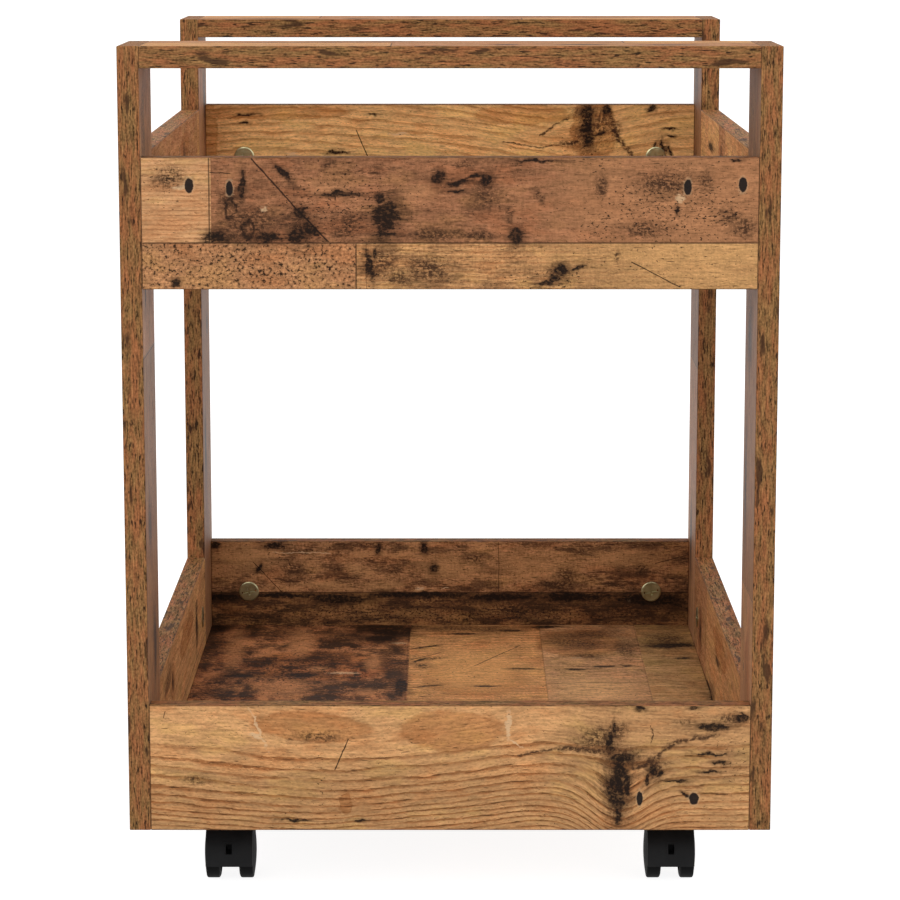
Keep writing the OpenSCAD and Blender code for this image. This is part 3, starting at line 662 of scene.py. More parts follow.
class Print:
    """The printed decor of one board: its coordinates, its noise fields and its layers.

    u runs along the grain and v across the face, in metres from the board's middle. A layer
    takes the colour of the layers below it and returns it with its own marks.
    """

    def __init__(self, pen, node, plan, look, seed):
        low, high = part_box(node)
        centre = (low + high) / 2
        along, across, through = (AXES[a] for a in plan["axes"])
        place = split(object_place(pen))
        self.pen = pen
        self.plan = plan
        self.look = look
        self.half = ((high[along] - low[along]) / 2, (high[across] - low[across]) / 2)
        self.u = place[along] - centre[along]
        self.v = place[across] - centre[across]
        self.depth = place[through] * 3 + seed
        self.face = join(self.u, self.v, 0.0)
        drift = join(self.u, self.v, self.depth).noise(scale=150, detail=3, output="Color")
        drift = drift.vector("SUBTRACT", (0.5, 0.5, 0.5)).vector("MULTIPLY", (0.007, 0.006, 0))
        self.ragged = self.face.vector("ADD", drift)
        self.nearly = self.face.vector("ADD", drift.shade(0.2))
        self.tone, (shift, self.lines, self.dirt, self.worms) = self.rows()
        self.stream = self.flow()
        self.grow(shift)

    def rows(self):
        """Plank tones and traits: steps along each row, picked by the height v."""
        bottom = -END
        tone = traits = worms = None
        place = self.u / (2 * self.half[0]) + 0.5
        for i, (top, planks) in enumerate(self.plan["rows"]):
            starts = [0.0] + [end * MM / (2 * self.half[0]) + 0.5 for end, *_ in planks[:-1]]
            tones = [(s, getattr(self.look, p[1])) for s, p in zip(starts, planks)]
            marks = [(s, (plank_shift(i, k), *plank_traits(p)))
                     for k, (s, p) in enumerate(zip(starts, planks))]
            row_tone, row_traits = place.steps(tones), place.steps(marks)
            row_worms = Signal(self.pen.tree, row_traits.socket.node.outputs["Alpha"])
            if tone is None:
                tone, traits, worms = row_tone, row_traits, row_worms
            else:
                inside = self.v.above(bottom * MM)
                tone, traits = tone.tint(inside, row_tone), traits.tint(inside, row_traits)
                worms = worms + (row_worms - worms) * inside
            bottom = top
        return tone, [*split(traits), worms]

    def seams(self):
        """Distance in metres to the nearest plank joint or edge of the print."""
        gap = (self.half[0] - self.u.size()).least(self.half[1] - self.v.size())
        bottom = -END
        for top, planks in self.plan["rows"]:
            for end, *_ in planks[:-1]:
                line = (self.u - end * MM).size()
                if bottom > -END:
                    line = line.most(bottom * MM - self.v)
                if top < END:
                    line = line.most(self.v - top * MM)
                gap = gap.least(line)
            if top < END:
                gap = gap.least((self.v - top * MM).size())
            bottom = top
        return gap

    def nearest(self, key, clean=False):
        """Distance to the nearest mark of a kind, in that mark's own radii. None without marks.

        Each mark's ellipse is scaled to a unit circle, after a turn where it has one, and the
        distance is the length of the point there.
        """
        source = self.face if clean else self.ragged
        best = None
        for u, v, ru, rv, *turn in self.plan.get(key, ()):
            if turn:
                unit = self.pen.node("ShaderNodeMapping", {"vector_type": "TEXTURE"}, {
                    "Vector": source, "Location": (u * MM, v * MM, 0),
                    "Rotation": (0, 0, math.radians(turn[0])), "Scale": (ru * MM, rv * MM, 1)})
            else:
                unit = source.vector("MULTIPLY_ADD", (1 / (ru * MM), 1 / (rv * MM), 0),
                                     (-u / ru, -v / rv, 0))
            away = unit.vector("LENGTH", output="Value")
            best = away if best is None else best.least(away)
        return best

    def strokes(self, key, source):
        """Distance to the nearest crack or vein, in its own half-widths. None without any.

        The nearest point of a line is start + t step, with t from the dot product held to 0..1.
        """
        best = None
        for u0, v0, u1, v1, width in self.plan.get(key, ()):
            start = Vector((u0, v0, 0)) * MM
            step = Vector((u1 - u0, v1 - v0, 0)) * MM
            away = source.vector("SUBTRACT", start)
            share = away.vector("DOT_PRODUCT", step / step.length_squared, output="Value")
            share = share.node("ShaderNodeClamp", {}, {0: share})
            foot = self.pen.node("ShaderNodeVectorMath", {"operation": "SCALE"},
                                 {0: step, 3: share})
            gap = away.vector("SUBTRACT", foot).vector("LENGTH", output="Value") / (width * MM / 2)
            best = gap if best is None else best.least(gap)
        return best

    def flow(self):
        """v with the swells and every knot's pull taken out, so that growth lines bend there.

        A swell takes away h exp(-(du / w)2), and a dip adds it, more with each step down. A knot
        takes away r2 dv / (du2 + dv2 + r2 / 3), as in the stream lines round a post.
        """
        flow = self.v
        for u, width, height in self.plan.get("swells", ()):
            reach = (self.u - u * MM) / (width * MM)
            flow = flow - reach.math("EXPONENT", reach * reach * -1.0) * (height * MM)
        for u, width, depth, start, full in self.plan.get("dips", ()):
            reach = (self.u - u * MM) / (width * MM)
            pull = reach.math("EXPONENT", reach * reach * -1.0)
            flow = flow + pull * self.v.smooth(start * MM, full * MM) * (depth * MM)
        for u, v, ru, rv in self.plan.get("knots", ()):
            r2 = ru * rv * MM * MM * 1.6
            du, dv = self.u - u * MM, self.v - v * MM
            flow = flow - dv * r2 / (du * du + dv * dv + r2 / 3)
        return flow

    def grow(self, shift):
        """Noise fields of the wood, most of them drawn out along the grain."""
        plan = self.plan
        grain = join(self.u, self.stream * plan.get("stretch", 1.0), self.depth + shift * 9)
        self.wave = grain.streaks((3.4, 9, 1), detail=1)
        self.hue = grain.streaks((24, 60, 1), detail=3, roughness=0.6)
        self.patch = grain.streaks((26, 90, 1), detail=5, roughness=0.66)
        self.fibre = grain.streaks((60, 640, 1), detail=4, roughness=0.68)
        self.rough = grain.streaks((360, 640, 1), detail=3, roughness=0.6)
        beside = grain.streaks((360, 640, 1), (0.1, 0.5, 0), detail=3, roughness=0.6)
        self.mottle = grain.streaks((*plan.get("mottle", PLAIN_MOTTLE), 1), (3, 8, 5),
                                    detail=4, roughness=0.7)
        self.cell = self.face.noise(scale=420, detail=3, roughness=0.6)
        self.cross = self.face.streaks((600, 160, 1), detail=3, roughness=0.65)
        self.fleck = grain.streaks((430, 700, 7), detail=2, roughness=0.6)
        self.stroke = grain.streaks((110, 1500, 5), detail=1)
        self.lit = beside - self.rough

    def late_wood(self):
        """Growth lines: dark at the late wood of each ring, bent by waves and ragged by fibres.

        The phase is flow (1 - q flow) / spacing, so that rings tighten towards the bottom.
        """
        spacing, tighten = self.plan.get("rings", PLAIN_RINGS)
        bent = self.stream + (self.wave - 0.5) * (spacing * 5 * MM)
        phase = bent * (1.0 - bent * (tighten / MM)) / (spacing * MM)
        phase = phase + (self.fibre - 0.5) * 0.5 + (self.hue - 0.5) * 1.3
        ring = phase.math("FRACT", phase)
        late = ring.smooth(0.45, 0.85) * ring.smooth(1.0, 0.92)
        if "calm" in self.plan:
            high, low = self.plan["calm"]
            late = late * self.stream.smooth(high * MM, low * MM)
        return late

    def bare_wood(self):
        """Wood before any dirt: fibres and saw marks change its depth, and patches its hue.

        The difference of two shifted noises looks like relief lit from one side.
        """
        patch, dirt = self.patch, self.dirt
        relief = (self.fibre - 0.5) * 1.5 + (self.rough - 0.5) * 0.9 + self.lit * 0.8
        self.relief = relief + (self.cross - 0.5) * dirt * 0.9
        body = self.tone.shade(1.0 + self.relief * (0.9 + dirt * 1.3)
                               + (patch - 0.5) * (0.8 + dirt * 1.4))
        body = body.stain(self.hue.smooth(0.48, 0.66) * 0.55, REDDER)
        body = body.stain(self.hue.smooth(0.50, 0.34) * 0.6, GREENER)
        late = self.late_wood() * self.lines * patch.smooth(0.26, 0.56)
        body = body.stain(late * 0.85, LATE_WOOD)
        pores = (late - 0.5).smooth(0.0, 0.5) * (self.stroke - 0.52).smooth(0.0, 0.10)
        return body.tint(pores * 0.6, self.look.charred)

    def rubbed(self, body):
        """Dirt that is rubbed into the fibres, painted highlight and shade on the fibres' relief,
        and pale fibres that are rubbed clean.
        """
        soot, dirt, lit = self.look.soot, self.dirt, self.lit
        blend = self.patch * 0.62 + self.fibre * 0.24 + self.rough * 0.14
        limit = 0.655 - dirt * 0.165
        grime = (blend - limit).smooth(0.0, 0.09)
        body = body.tint(grime * 0.85, soot)
        heavy = dirt * dirt
        blotch = self.mottle * 0.7 + self.fibre * 0.3
        body = body.tint(blotch.smooth(0.50, 0.57) * heavy * 0.85, soot)
        body = body.tint(blotch.smooth(0.47, 0.40) * heavy * 0.75,
                         self.tone.vector("MULTIPLY", BLOTCHED))
        flecked = self.patch.smooth(0.42, 0.62) * 0.7 + 0.3
        # Painted shade and painted highlight: the sides of the fibres that face away from the light
        # and towards it.
        body = body.stain(lit.smooth(-0.10, -0.24) * flecked * 0.65, SHADED_FIBRE)
        body = body.tint(lit.smooth(0.12, 0.26) * flecked * 0.55,
                         self.tone.vector("MULTIPLY", LIT_FIBRE))
        clean = (blend + dirt * 0.04).smooth(0.43, 0.34)
        return body.tint(clean * 0.42, self.tone.vector("MULTIPLY", RUBBED_CLEAN))

    def stained(self, body):
        """Dim, red and pale areas, chips, and smudges of dirt and of painted shade, with edges
        broken up by the fibres.
        """
        fibre, rough, patch = self.fibre, self.rough, self.patch
        self.broken = (fibre - 0.5) * 1.9 + (rough - 0.5) * 1.5 + (patch - 0.5) * 1.6
        dims = self.nearest("dims")
        if dims:
            body = body.shade(1.0 - (dims + (patch - 0.5) * 0.8).smooth(1.25, 0.7) * 0.21)
        reds = self.nearest("reds")
        if reds:
            edge = reds + (patch - 0.5) * 0.5
            body = body.stain(edge.smooth(1.15, 0.85) * 0.8, RED_STAIN)
            rim = (edge - 1.0).size().smooth(0.16, 0.0) * fibre.smooth(0.3, 0.6)
            body = body.stain(rim * 0.55, STAIN_RIM)
        pales = self.nearest("pales")
        if pales:
            light = self.tone.vector("MULTIPLY", PALE_AREA).shade(1.0 + self.relief)
            body = body.tint((pales + self.broken * 0.6).smooth(1.4, 0.3) * 0.7, light)
        chips = self.nearest("chips")
        if chips:
            body = body.tint((chips + self.broken).smooth(1.2, 0.6) * 0.75, self.look.bare_pine)
        # Soot smudges: dirt on most boards, and painted shade at the back of the lower tray's
        # floor.
        smudges = self.nearest("smudges")
        if smudges:
            cover = fibre * 0.35 + self.cross * 0.15 + self.cell * 0.3 + rough * 0.2
            cover = 0.12 + cover.smooth(0.45, 0.53) * 0.88
            spread = (smudges + self.broken * 0.9).smooth(1.4, 0.3)
            body = body.tint(spread * cover * 0.95, self.look.soot)
        return body

    def scorched(self, body):
        """Knots, burns, the dark veins that run out of them, and rims of worn ovals."""
        fibre, broken = self.fibre, self.broken
        char, soot = self.look.charred, self.look.soot
        knots = self.nearest("knots")
        if knots:
            body = body.stain(knots.smooth(2.6, 0.9) * 0.45, KNOT_HALO)
            body = body.tint((knots + broken * 0.9).smooth(1.3, 0.5) * (0.4 + fibre * 0.7), soot)
            body = body.tint((knots + broken * 0.5).smooth(0.6, 0.2) * (0.3 + fibre * 0.7), char)
        gaps = (self.cell * 0.55 + fibre * 0.45).smooth(0.40, 0.52)
        burns = self.nearest("burns")
        if burns:
            halo = (burns + broken * 1.1).smooth(2.3, 0.9)
            body = body.tint(halo * (0.35 + self.rough) * 0.6, soot)
            core = (burns + broken * 0.9).smooth(1.15, 0.75)
            body = body.tint(core * (0.55 + gaps * 0.42), char)
        veins = self.strokes("veins", self.ragged)
        if veins:
            body = body.tint((veins + broken * 1.5).smooth(2.5, 0.4) * (0.18 + gaps * 0.75), soot)
        worn = self.nearest("rings_worn")
        if worn:
            body = body.tint(((worn - 1.0).size() + broken * 0.5).smooth(0.5, 0.1) * 0.8, char)
        return body

    def speckled(self, body):
        """Worm holes and specks, dense within "pits", and short strokes along the grain."""
        char, cell, dirt = self.look.charred, self.cell, self.dirt
        if any(plank_traits(plank)[2] for _, planks in self.plan["rows"] for plank in planks):
            eaten = cell * 0.6 + self.rough * 0.25 + self.patch * 0.15
            body = body.shade(1.0 + (cell - 0.5) * self.worms * 2.6)
            body = body.tint((0.452 - eaten).smooth(0.0, 0.04) * self.worms * 0.85, char)
        density = dirt * 0.05
        pits = self.nearest("pits")
        if pits:
            density = density + pits.smooth(1.25, 0.35) * 0.085
        body = body.tint((self.fleck + density - 0.700).smooth(0.0, 0.04) * 0.9, char)
        short = self.stroke + dirt * 0.06 - 0.71 - self.worms
        return body.tint(short.smooth(0.0, 0.05) * 0.8, char)

    def pierced(self, body):
        """Round holes with a pale rim, and thin cracks."""
        holes = self.nearest("holes", clean=True)
        if holes:
            rim = (holes + self.broken * 0.8).smooth(1.5, 1.1)
            body = body.tint(rim * 0.28, self.look.bare_pine)
            hollow = (holes + (self.rough - 0.5) * 0.5).smooth(1.15, 0.92)
            body = body.tint(hollow * 0.97, HOLE_BLACK)
        cracks = self.strokes("cracks", self.nearly)
        if cracks:
            body = body.tint((cracks + self.broken * 0.5).smooth(1.5, 0.7) * 0.9,
                             self.look.charred)
        return body


def paper_finish(shader, body, fibre, rough, joint=None):
    """Printed paper: its colour, a sheen that varies with the fibres, and their relief."""
    feed(shader, "Base Color", body)
    feed(shader, "Roughness", PAPER_ROUGHNESS - (fibre - 0.5) * 0.5)
    relief = fibre * 0.7 + rough * 0.3
    if joint:
        relief = relief - joint
    bumped(shader, relief, PAPER_RELIEF)


def old_wood(node, plan, look, seed):
    """Old-wood print: planks with growth lines, fibres, dirt, knots, burns, holes and cracks."""
    made, pen, shader = new_material(node + "_decor")
    sheen = look.post_sheen if "post" in node else look.print_sheen
    shader.inputs["Specular IOR Level"].default_value = sheen
    sheet = Print(pen, node, plan, look, seed)
    body = sheet.bare_wood()
    for layer in (sheet.rubbed, sheet.stained, sheet.scorched, sheet.speckled, sheet.pierced):
        body = layer(body)
    joint = sheet.seams().smooth(*JOINT_FADE)
    body = body.tint(joint * plan.get("joint", JOINT_DARKNESS), look.charred)
    paper_finish(shader, body, sheet.fibre, sheet.rough, joint)
    return made


def edge_band(name, axes, look, seed):
    """Printed edge band: mottled brown fibres along the edge, with short black strokes."""
    made, pen, shader = new_material(name)
    shader.inputs["Specular IOR Level"].default_value = look.print_sheen
    place = split(object_place(pen))
    u, v, w = (place[AXES[a]] for a in axes)
    grain = join(u, v, w + seed)
    patch = grain.streaks((30, 150, 150), detail=4, roughness=0.62)
    fibre = grain.streaks((75, 800, 800), detail=4, roughness=0.68)
    rough = grain.streaks((500, 800, 800), detail=2)
    stroke = grain.streaks((130, 900, 900), detail=1)
    blot = grain.streaks((34, 130, 130), detail=2)
    tone = mixed(pen, patch.smooth(0.36, 0.64), times(look.mid_brown, BAND_GREENER),
                 times(look.mid_brown, BAND_REDDER))
    body = tone.shade(1.0 + (fibre - 0.5) * 3.6 + (rough - 0.5) * 1.8 + (patch - 0.5) * 1.2)
    body = body.tint((stroke - 0.59).smooth(0.0, 0.08) * 0.85, look.charred)
    body = body.tint((blot + (fibre - 0.5) * 0.3).smooth(0.61, 0.68) * 0.85, look.soot)
    paper_finish(shader, body, fibre, rough)
    return made


# Plain materials of fittings and casters


def moulded_plastic(name, shade, roughness, mirror):
    """Moulded plastic: fine spark-eroded grain and slight wear in its sheen."""
    made, pen, shader = new_material(name)
    shader.inputs["Specular IOR Level"].default_value = mirror
    place = object_place(pen)
    grain = place.noise(scale=1900, detail=3)
    worn = place.noise(scale=60, detail=4)
    body = mixed(pen, worn.smooth(0.35, 0.75), shade, times(shade, WORN_PLASTIC))
    feed(shader, "Base Color", body)
    feed(shader, "Roughness", roughness + worn * 0.18 + grain * 0.08)
    bumped(shader, grain, PLASTIC_RELIEF)
    return made


def metal(name, shade, roughness, marks, dents=0.0):
    """Plated metal: a cloudy sheen with dents and fine marks, so many in a metre of each axis."""
    made, pen, shader = new_material(name)
    place = object_place(pen)
    cloud = place.noise(scale=160, detail=4)
    fine = place.streaks(marks, detail=3)
    shader.inputs["Metallic"].default_value = 1.0
    body = mixed(pen, cloud.smooth(0.3, 0.7), shade, times(shade, CLOUDY_METAL))
    feed(shader, "Base Color", body)
    feed(shader, "Roughness", roughness + cloud * 0.14 + fine * 0.10)
    bumped(shader, fine * 0.06 + cloud * dents, METAL_RELIEF)
    return made


def beech_wood(name, shade):
    """Raw beech: short dark flecks and fine pores."""
    made, pen, shader = new_material(name)
    place = object_place(pen)
    fleck = place.streaks((300, 300, 900), detail=3)
    body = mixed(pen, fleck.smooth(0.45, 0.7), shade, times(shade, BEECH_FLECK))
    feed(shader, "Base Color", body)
    feed(shader, "Roughness", 0.6 + fleck * 0.15)
    bumped(shader, fleck, BEECH_RELIEF, strength=0.4)
    return made


# Shapes


def mesh_object(name, points, faces, materials, slots=None, smooth=False):
    """Puts computed points and faces into a new mesh object at the origin."""
    mesh = bpy.data.meshes.new(name)
    mesh.from_pydata(points.tolist(), [], faces.tolist())
    for made in materials:
        mesh.materials.append(made)
    if slots is not None:
        mesh.polygons.foreach_set("material_index", slots.astype(np.int32))
    mesh.polygons.foreach_set("use_smooth", np.full(len(mesh.polygons), smooth))
    mesh.update()
    obj = bpy.data.objects.new(name, mesh)
    bpy.context.scene.collection.objects.link(obj)
    return obj


def edge_lines(low, high, radius, extra):
    """Grid lines of one axis: tangents of equal angle steps in the arris, and extra lines."""
    arris = radius * np.tan(np.radians([45, 22.5, 0]))
    return np.unique(np.round(np.concatenate(
        [low + radius - arris, high - radius + arris, np.asarray(extra, float)]), 7))


def well_lines(cuts, k):
    """Places along axis k of the walls of some wells."""
    return [w["centre"][k] + s * w["half"] for w in cuts for s in (-1, 1)]


def rounded_board(low, high, radius, wells):
    """A board with rounded arrises, as points, quads and each quad's normal axis.

    Each side is a grid. A grid point q is moved to core + radius (q - core) / |q - core|,
    where core is q held inside the board shrunk by the radius. The wells are squares
    (axis, side, centre) sunk into a side: their quad is replaced by walls and a floor.
    """
    low, high = np.asarray(low, float), np.asarray(high, float)
    points, faces, axes, count = [], [], [], 0
    for axis in range(3):
        first, second = (axis + 1) % 3, (axis + 2) % 3
        for side in (0, 1):
            cuts = [w for w in wells if w["axis"] == axis and w["side"] == side]
            lines = [edge_lines(low[k], high[k], radius, well_lines(cuts, k))
                     for k in (first, second)]
            a, b = np.meshgrid(*lines, indexing="ij")
            q = np.empty(a.shape + (3,))
            q[..., first], q[..., second], q[..., axis] = a, b, (low, high)[side][axis]
            index = count + np.arange(a.size).reshape(a.shape)
            quads = np.stack([index[:-1, :-1], index[1:, :-1], index[1:, 1:], index[:-1, 1:]], -1)
            middle = (q[:-1, :-1] + q[1:, 1:]) / 2
            keep = np.ones(quads.shape[:2], bool)
            for w in cuts:
                offset = np.abs(middle - w["centre"])
                keep &= (offset[..., first] > w["half"]) | (offset[..., second] > w["half"])
            quads = quads[keep]
            faces.append(quads if side else quads[:, ::-1])
            axes.append(np.full(len(quads), axis))
            points.append(q.reshape(-1, 3))
            count += a.size
            for w in cuts:
                new, walls = well(w, first, second, axis, side, (low, high)[side][axis])
                points.append(new)
                faces.append(walls + count)
                axes.append(np.full(len(walls), axis))
                count += len(new)
    q = np.concatenate(points)
    core = np.clip(q, low + radius, high - radius)
    inside = np.all((q > low + ON_SIDE) & (q < high - ON_SIDE), axis=1)
    away = q - core
    reach = np.linalg.norm(away, axis=1, keepdims=True)
    rounded = np.where(inside[:, None], q, core + radius * away / np.maximum(reach, NO_DISTANCE))
    return merged(rounded, np.concatenate(faces), np.concatenate(axes))


def well(w, first, second, axis, side, level):
    """Walls and floor of a square well in a side of a board: eight points and five quads."""
    ring = np.array([(-1, -1), (1, -1), (1, 1), (-1, 1)]) * w["half"]
    new = np.empty((8, 3))
    for k, depth in enumerate((0.0, w["depth"])):
        rows = slice(4 * k, 4 * k + 4)
        new[rows, first] = w["centre"][first] + ring[:, 0]
        new[rows, second] = w["centre"][second] + ring[:, 1]
        new[rows, axis] = level - depth if side else level + depth
    walls = np.array([[i, 4 + i, 4 + (i + 1) % 4, (i + 1) % 4] for i in range(4)] + [[4, 5, 6, 7]])
    return new, walls if side else walls[:, ::-1]


def merged(points, faces, tags):
    """Joins points that lie within a hundredth of a millimetre of each other."""
    where = welded(points)
    joined = np.zeros((where.max() + 1, 3))
    joined[where] = points
    return joined, where[faces], tags


def welded(points):
    """Each point's number, the same for points within a hundredth of a millimetre."""
    _, where = np.unique(np.round(points / WELD).astype(np.int64), axis=0, return_inverse=True)
    return where.ravel()


def dress_board(node, settings, decor, band):
    """A board piece with rounded arrises, its print on the wide sides and bands on the rest."""
    low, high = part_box(node)
    wells = cam_wells(low, high, settings.well_half, settings.well_depth)
    points, faces, axes = rounded_board(low, high, settings.edge_radius, wells)
    thin = int(np.argmin(np.array(high) - np.array(low)))
    piece = mesh_object(node + "_panel", points, faces, [decor, band], (axes != thin).astype(int))
    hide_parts(node)
    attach(piece, "frame")
    return piece


def cam_wells(low, high, half, depth):
    """Wells of a board for the cam locks whose rims stand on one of its sides."""
    wells = []
    for centre, axis, level in CAM_RIMS:
        over = all(low[k] < centre[k] < high[k] for k in range(3) if k != axis)
        for side, face in enumerate((low[axis], high[axis])):
            if over and abs(level - face) < RIM_GAP:
                wells.append({"axis": axis, "side": side, "centre": centre,
                              "half": half, "depth": depth})
    return wells


def cam_rims():
    """Centre, axis and height of each cam's rim, from the separate solids of the cam nodes.

    A solid's short side is the axis of its disc, and its rim is at the end of that side
    whose cross-section is wider.
    """
    rims = []
    for node in CAM_NODES:
        for cloud in loose_solids(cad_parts[node].data):
            low, high = cloud.min(0), cloud.max(0)
            axis = int(np.argmin(high - low))
            centre = (low + high) / 2
            radius = np.linalg.norm(np.delete(cloud - centre, axis, 1), axis=1)
            level = float(cloud[np.argmax(radius), axis])
            rims.append((centre, axis, level))
    return rims


def loose_solids(mesh):
    """Point clouds of a mesh's separate solids, found by joining points along edges."""
    co = np.empty(len(mesh.vertices) * 3, np.float32)
    mesh.vertices.foreach_get("co", co)
    co = co.reshape(-1, 3)
    label = welded(co)
    ends = np.empty(len(mesh.edges) * 2, np.int32)
    mesh.edges.foreach_get("vertices", ends)
    ends = label[ends.reshape(-1, 2)]
    group = np.arange(label.max() + 1)
    while True:
        low = np.minimum(group[ends[:, 0]], group[ends[:, 1]])
        before = group.copy()
        np.minimum.at(group, ends[:, 0], low)
        np.minimum.at(group, ends[:, 1], low)
        group = group[group]
        if np.array_equal(before, group):
            break
    owner = group[label]
    return [co[owner == g] for g in np.unique(owner)]


CAM_RIMS = cam_rims()


# Operators


def board_operator(nodes, seed):
    """Dresses a group of boards. The seed sets each print apart from the others."""
    look = bpy.context.scene.trolley_boards
    for i, node in enumerate(nodes):
        plan = PLANS[node]
        decor = old_wood(node, plan, look, seed + DECOR_STEP * i)
        band = edge_band(node + "_band", plan["axes"], look, seed + BAND_STEP * i)
        dress_board(node, look, decor, band)
    return {"FINISHED"}


def tray_nodes(tray):
    """The boards and the floor of a tray."""
    return [f"{tray}_{side}_board" for side in SIDES] + [tray + "_tray_floor"]


def repaint(node, made):
    """Gives a CAD node its material."""
    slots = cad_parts[node].data.materials
    slots.clear()
    slots.append(made)


class TROLLEY_OT_posts(bpy.types.Operator):
    """Makes the four post boards"""

    bl_idname = "trolley.posts"
    bl_label = "Posts"

    def execute(self, context):
        return board_operator([corner + "_post" for corner in CORNERS], SEEDS["posts"])


class TROLLEY_OT_rails(bpy.types.Operator):
    """Makes the two handle rails"""

    bl_idname = "trolley.rails"
    bl_label = "Handle rails"

    def execute(self, context):
        return board_operator(["front_handle_rail", "back_handle_rail"], SEEDS["rails"])


class TROLLEY_OT_upper_tray(bpy.types.Operator):
    """Makes the four boards and the floor of the upper tray"""

    bl_idname = "trolley.upper_tray"
    bl_label = "Upper tray"

    def execute(self, context):
        return board_operator(tray_nodes("upper"), SEEDS["upper"])


class TROLLEY_OT_lower_tray(bpy.types.Operator):
    """Makes the four boards and the floor of the lower tray"""

    bl_idname = "trolley.lower_tray"
    bl_label = "Lower tray"

    def execute(self, context):
        return board_operator(tray_nodes("lower"), SEEDS["lower"])


class TROLLEY_OT_fittings(bpy.types.Operator):
    """Finishes the cam locks, bolts, dowels and screws"""

    bl_idname = "trolley.fittings"
    bl_label = "Fittings"

    def execute(self, context):
        look = context.scene.trolley_casters
        zinc = metal("cam_zinc", look.zinc, roughness=0.22, marks=(500, 500, 500), dents=2.5)
        steel = metal("bolt_steel", look.steel, roughness=0.26, marks=(900, 900, 900))
        beech = beech_wood("dowel_beech", look.beech)
        for group in ("rail", "upper", "lower"):
            repaint(group + "_cam_locks", zinc)
            repaint(group + "_cam_bolts", steel)
            repaint(group + "_dowels", beech)
        repaint("caster_plate_screws", steel)
        return {"FINISHED"}


class TROLLEY_OT_casters(bpy.types.Operator):
    """Finishes the hoods, wheels, plates, pins and axles of the casters"""

    bl_idname = "trolley.casters"
    bl_label = "Casters"

    def execute(self, context):
        look = context.scene.trolley_casters
        hood = moulded_plastic("hood_plastic", look.hood_black, roughness=0.50, mirror=0.12)
        wheel = moulded_plastic("wheel_plastic", look.wheel_black, roughness=0.50, mirror=0.05)
        steel = metal("plate_steel", look.steel, roughness=0.28, marks=(700, 90, 700))
        for corner in CORNERS:
            repaint(corner + "_caster_hood", hood)
            repaint(corner + "_wheel_left", wheel)
            repaint(corner + "_wheel_right", wheel)
            repaint(corner + "_caster_plate", steel)
            repaint(corner + "_swivel_pin", steel)
            repaint(corner + "_axle", steel)
        return {"FINISHED"}


class TROLLEY_OT_stage(bpy.types.Operator):
    """Sets the camera, the lamps, the white surroundings and the floor"""

    bl_idname = "trolley.stage"
    bl_label = "Stage"

    def execute(self, context):
        stage = context.scene.trolley_stage
        set_camera(stage)
        set_lamps(stage)
        set_world(stage)
        set_floor(stage)
        context.scene.view_settings.view_transform = "Standard"
        return {"FINISHED"}


def set_camera(stage):
    """The camera looks along +Y and down, from the middle of the trolley's width."""
    data = bpy.data.cameras.new("camera")
    data.sensor_width = SENSOR_WIDTH
    data.lens = stage.camera_lens
    camera = bpy.data.objects.new("camera", data)
    camera.location = (0.0, -stage.camera_distance, stage.camera_height)
    camera.rotation_euler = (math.pi / 2 - stage.camera_pitch, 0.0, 0.0)
    bpy.context.scene.collection.objects.link(camera)
    bpy.context.scene.camera = camera


def set_lamps(stage):
    """Five large soft lamps, each aimed at the middle of the trolley."""
    lamps = (("key_lamp", stage.key_power, 4.0, (-2.4, -5.2, 3.6)),
             ("fill_lamp", stage.fill_power, 4.0, (3.6, -4.6, 1.6)),
             ("left_lamp", stage.side_power, 3.0, (-4.0, -0.4, 2.4)),
             ("right_lamp", stage.side_power, 3.0, (4.0, -0.4, 2.4)),
             ("top_lamp", stage.top_power, 4.0, (0.4, -0.6, 5.4)))
    for name, watts, size, place in lamps:
        data = bpy.data.lights.new(name, "AREA")
        data.energy = watts
        data.size = size
        lamp = bpy.data.objects.new(name, data)
        lamp.location = place
        lamp.rotation_mode = "QUATERNION"
        aim = Vector(LAMP_TARGET) - Vector(place)
        lamp.rotation_quaternion = aim.to_track_quat("-Z", "Y")
        bpy.context.scene.collection.objects.link(lamp)


def white_rays(pen):
    """1 for rays that see the surroundings directly, by reflection or through glass."""
    rays = [pen.node("ShaderNodeLightPath", output=name)
            for name in ("Is Camera Ray", "Is Glossy Ray", "Is Transmission Ray")]
    return rays[0].most(rays[1]).most(rays[2])


def set_world(stage):
    """White to the camera and in reflections, and softer as light on the object."""
    world = bpy.data.worlds.new("studio")
    world.use_nodes = True
    bpy.context.scene.world = world
    pen = Signal(world.node_tree)
    background = world.node_tree.nodes["Background"]
    seen = white_rays(pen)
    feed(background, "Strength", seen + (1 - seen) * stage.ambient)
    background.inputs["Color"].default_value = (1, 1, 1, 1)


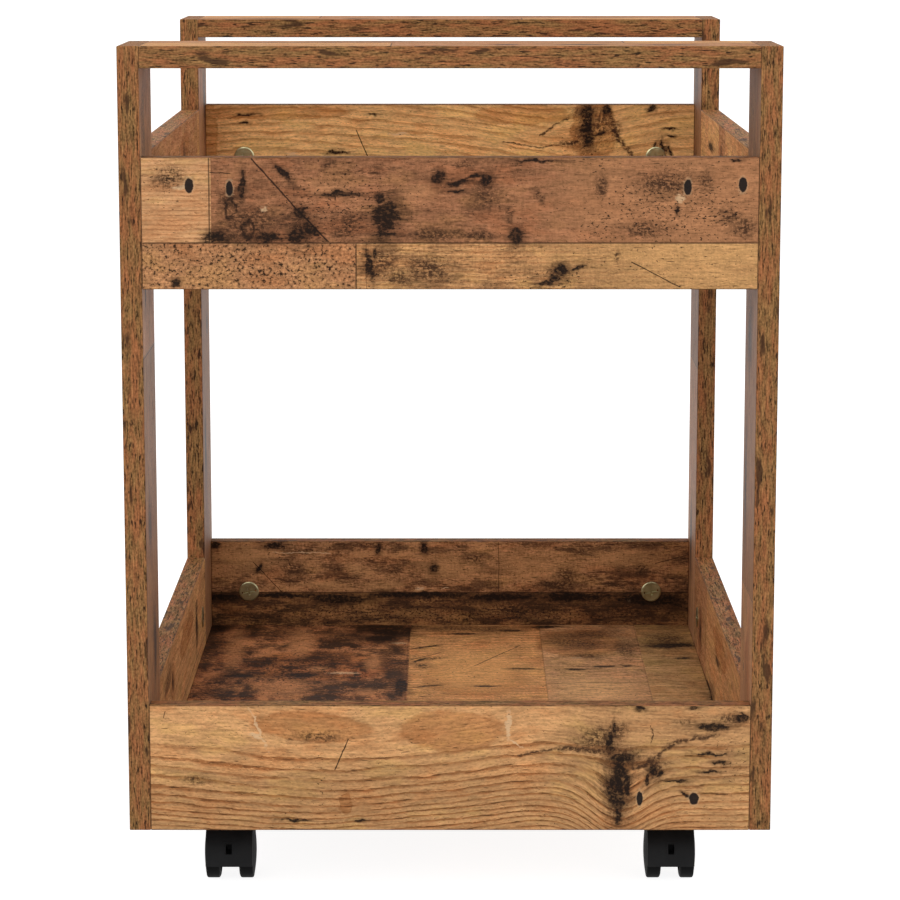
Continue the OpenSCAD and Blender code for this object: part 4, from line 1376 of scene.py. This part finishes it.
def sweep(width, front, back, height, radius, steps=24):
    """Floor and backdrop as one sheet: a profile along Y, bent up by a quarter circle."""
    turn = np.radians(np.linspace(0, 90, steps))
    curve = np.stack([back + radius * np.sin(turn), radius * (1 - np.cos(turn))], 1)
    profile = np.concatenate([[[front, 0.0]], curve, [[back + radius, height]]])
    across = np.array([-width / 2, width / 2])
    points = np.empty((len(profile), 2, 3))
    points[..., 0], points[..., 1], points[..., 2] = across, profile[:, :1], profile[:, 1:]
    index = np.arange(2 * len(profile)).reshape(-1, 2)
    faces = np.stack([index[:-1, 0], index[:-1, 1], index[1:, 1], index[1:, 0]], -1)
    return points.reshape(-1, 3), faces


def set_floor(stage):
    """A pale floor that curves up behind. The camera sees it near white, with its shadows."""
    made, pen, shader = new_material("pale_floor")
    shader.inputs["Base Color"].default_value = (*stage.floor_colour, 1)
    shader.inputs["Roughness"].default_value = FLOOR_ROUGHNESS
    feed(shader, "Emission Color", mixed(pen, white_rays(pen), FLOOR_GLOW, FLOOR_SEEN))
    shader.inputs["Emission Strength"].default_value = 1.0
    points, faces = sweep(width=24.0, front=-6.0, back=4.0, height=6.0, radius=2.5)
    floor = mesh_object("floor_sweep", points, faces, [made], smooth=True)


class TROLLEY_PT_sidebar(bpy.types.Panel):
    """Lists the steps that dress the trolley, and its settings"""

    bl_idname = "TROLLEY_PT_sidebar"
    bl_label = "Office Trolley"
    bl_space_type = "VIEW_3D"
    bl_region_type = "UI"
    bl_category = "Trolley"

    def draw(self, context):
        for step in STEPS:
            self.layout.operator(step.bl_idname)
        for group in (context.scene.trolley_boards, context.scene.trolley_casters,
                      context.scene.trolley_stage):
            for name in group.__annotations__:
                self.layout.prop(group, name)


STEPS = (TROLLEY_OT_stage, TROLLEY_OT_posts, TROLLEY_OT_rails, TROLLEY_OT_upper_tray,
         TROLLEY_OT_lower_tray, TROLLEY_OT_fittings, TROLLEY_OT_casters)
GROUPS = {"trolley_boards": TrolleyBoardLook, "trolley_casters": TrolleyCasterLook,
          "trolley_stage": TrolleyStage}


def register():
    for kind in (*GROUPS.values(), *STEPS, TROLLEY_PT_sidebar):
        bpy.utils.register_class(kind)
    for name, kind in GROUPS.items():
        setattr(bpy.types.Scene, name, PointerProperty(type=kind))


def unregister():
    for name in GROUPS:
        delattr(bpy.types.Scene, name)
    for kind in reversed((*GROUPS.values(), *STEPS, TROLLEY_PT_sidebar)):
        bpy.utils.unregister_class(kind)


def main():
    register()
    for step in STEPS:
        group, name = step.bl_idname.split(".")
        getattr(getattr(bpy.ops, group), name)()


if __name__ == "__main__":
    main()
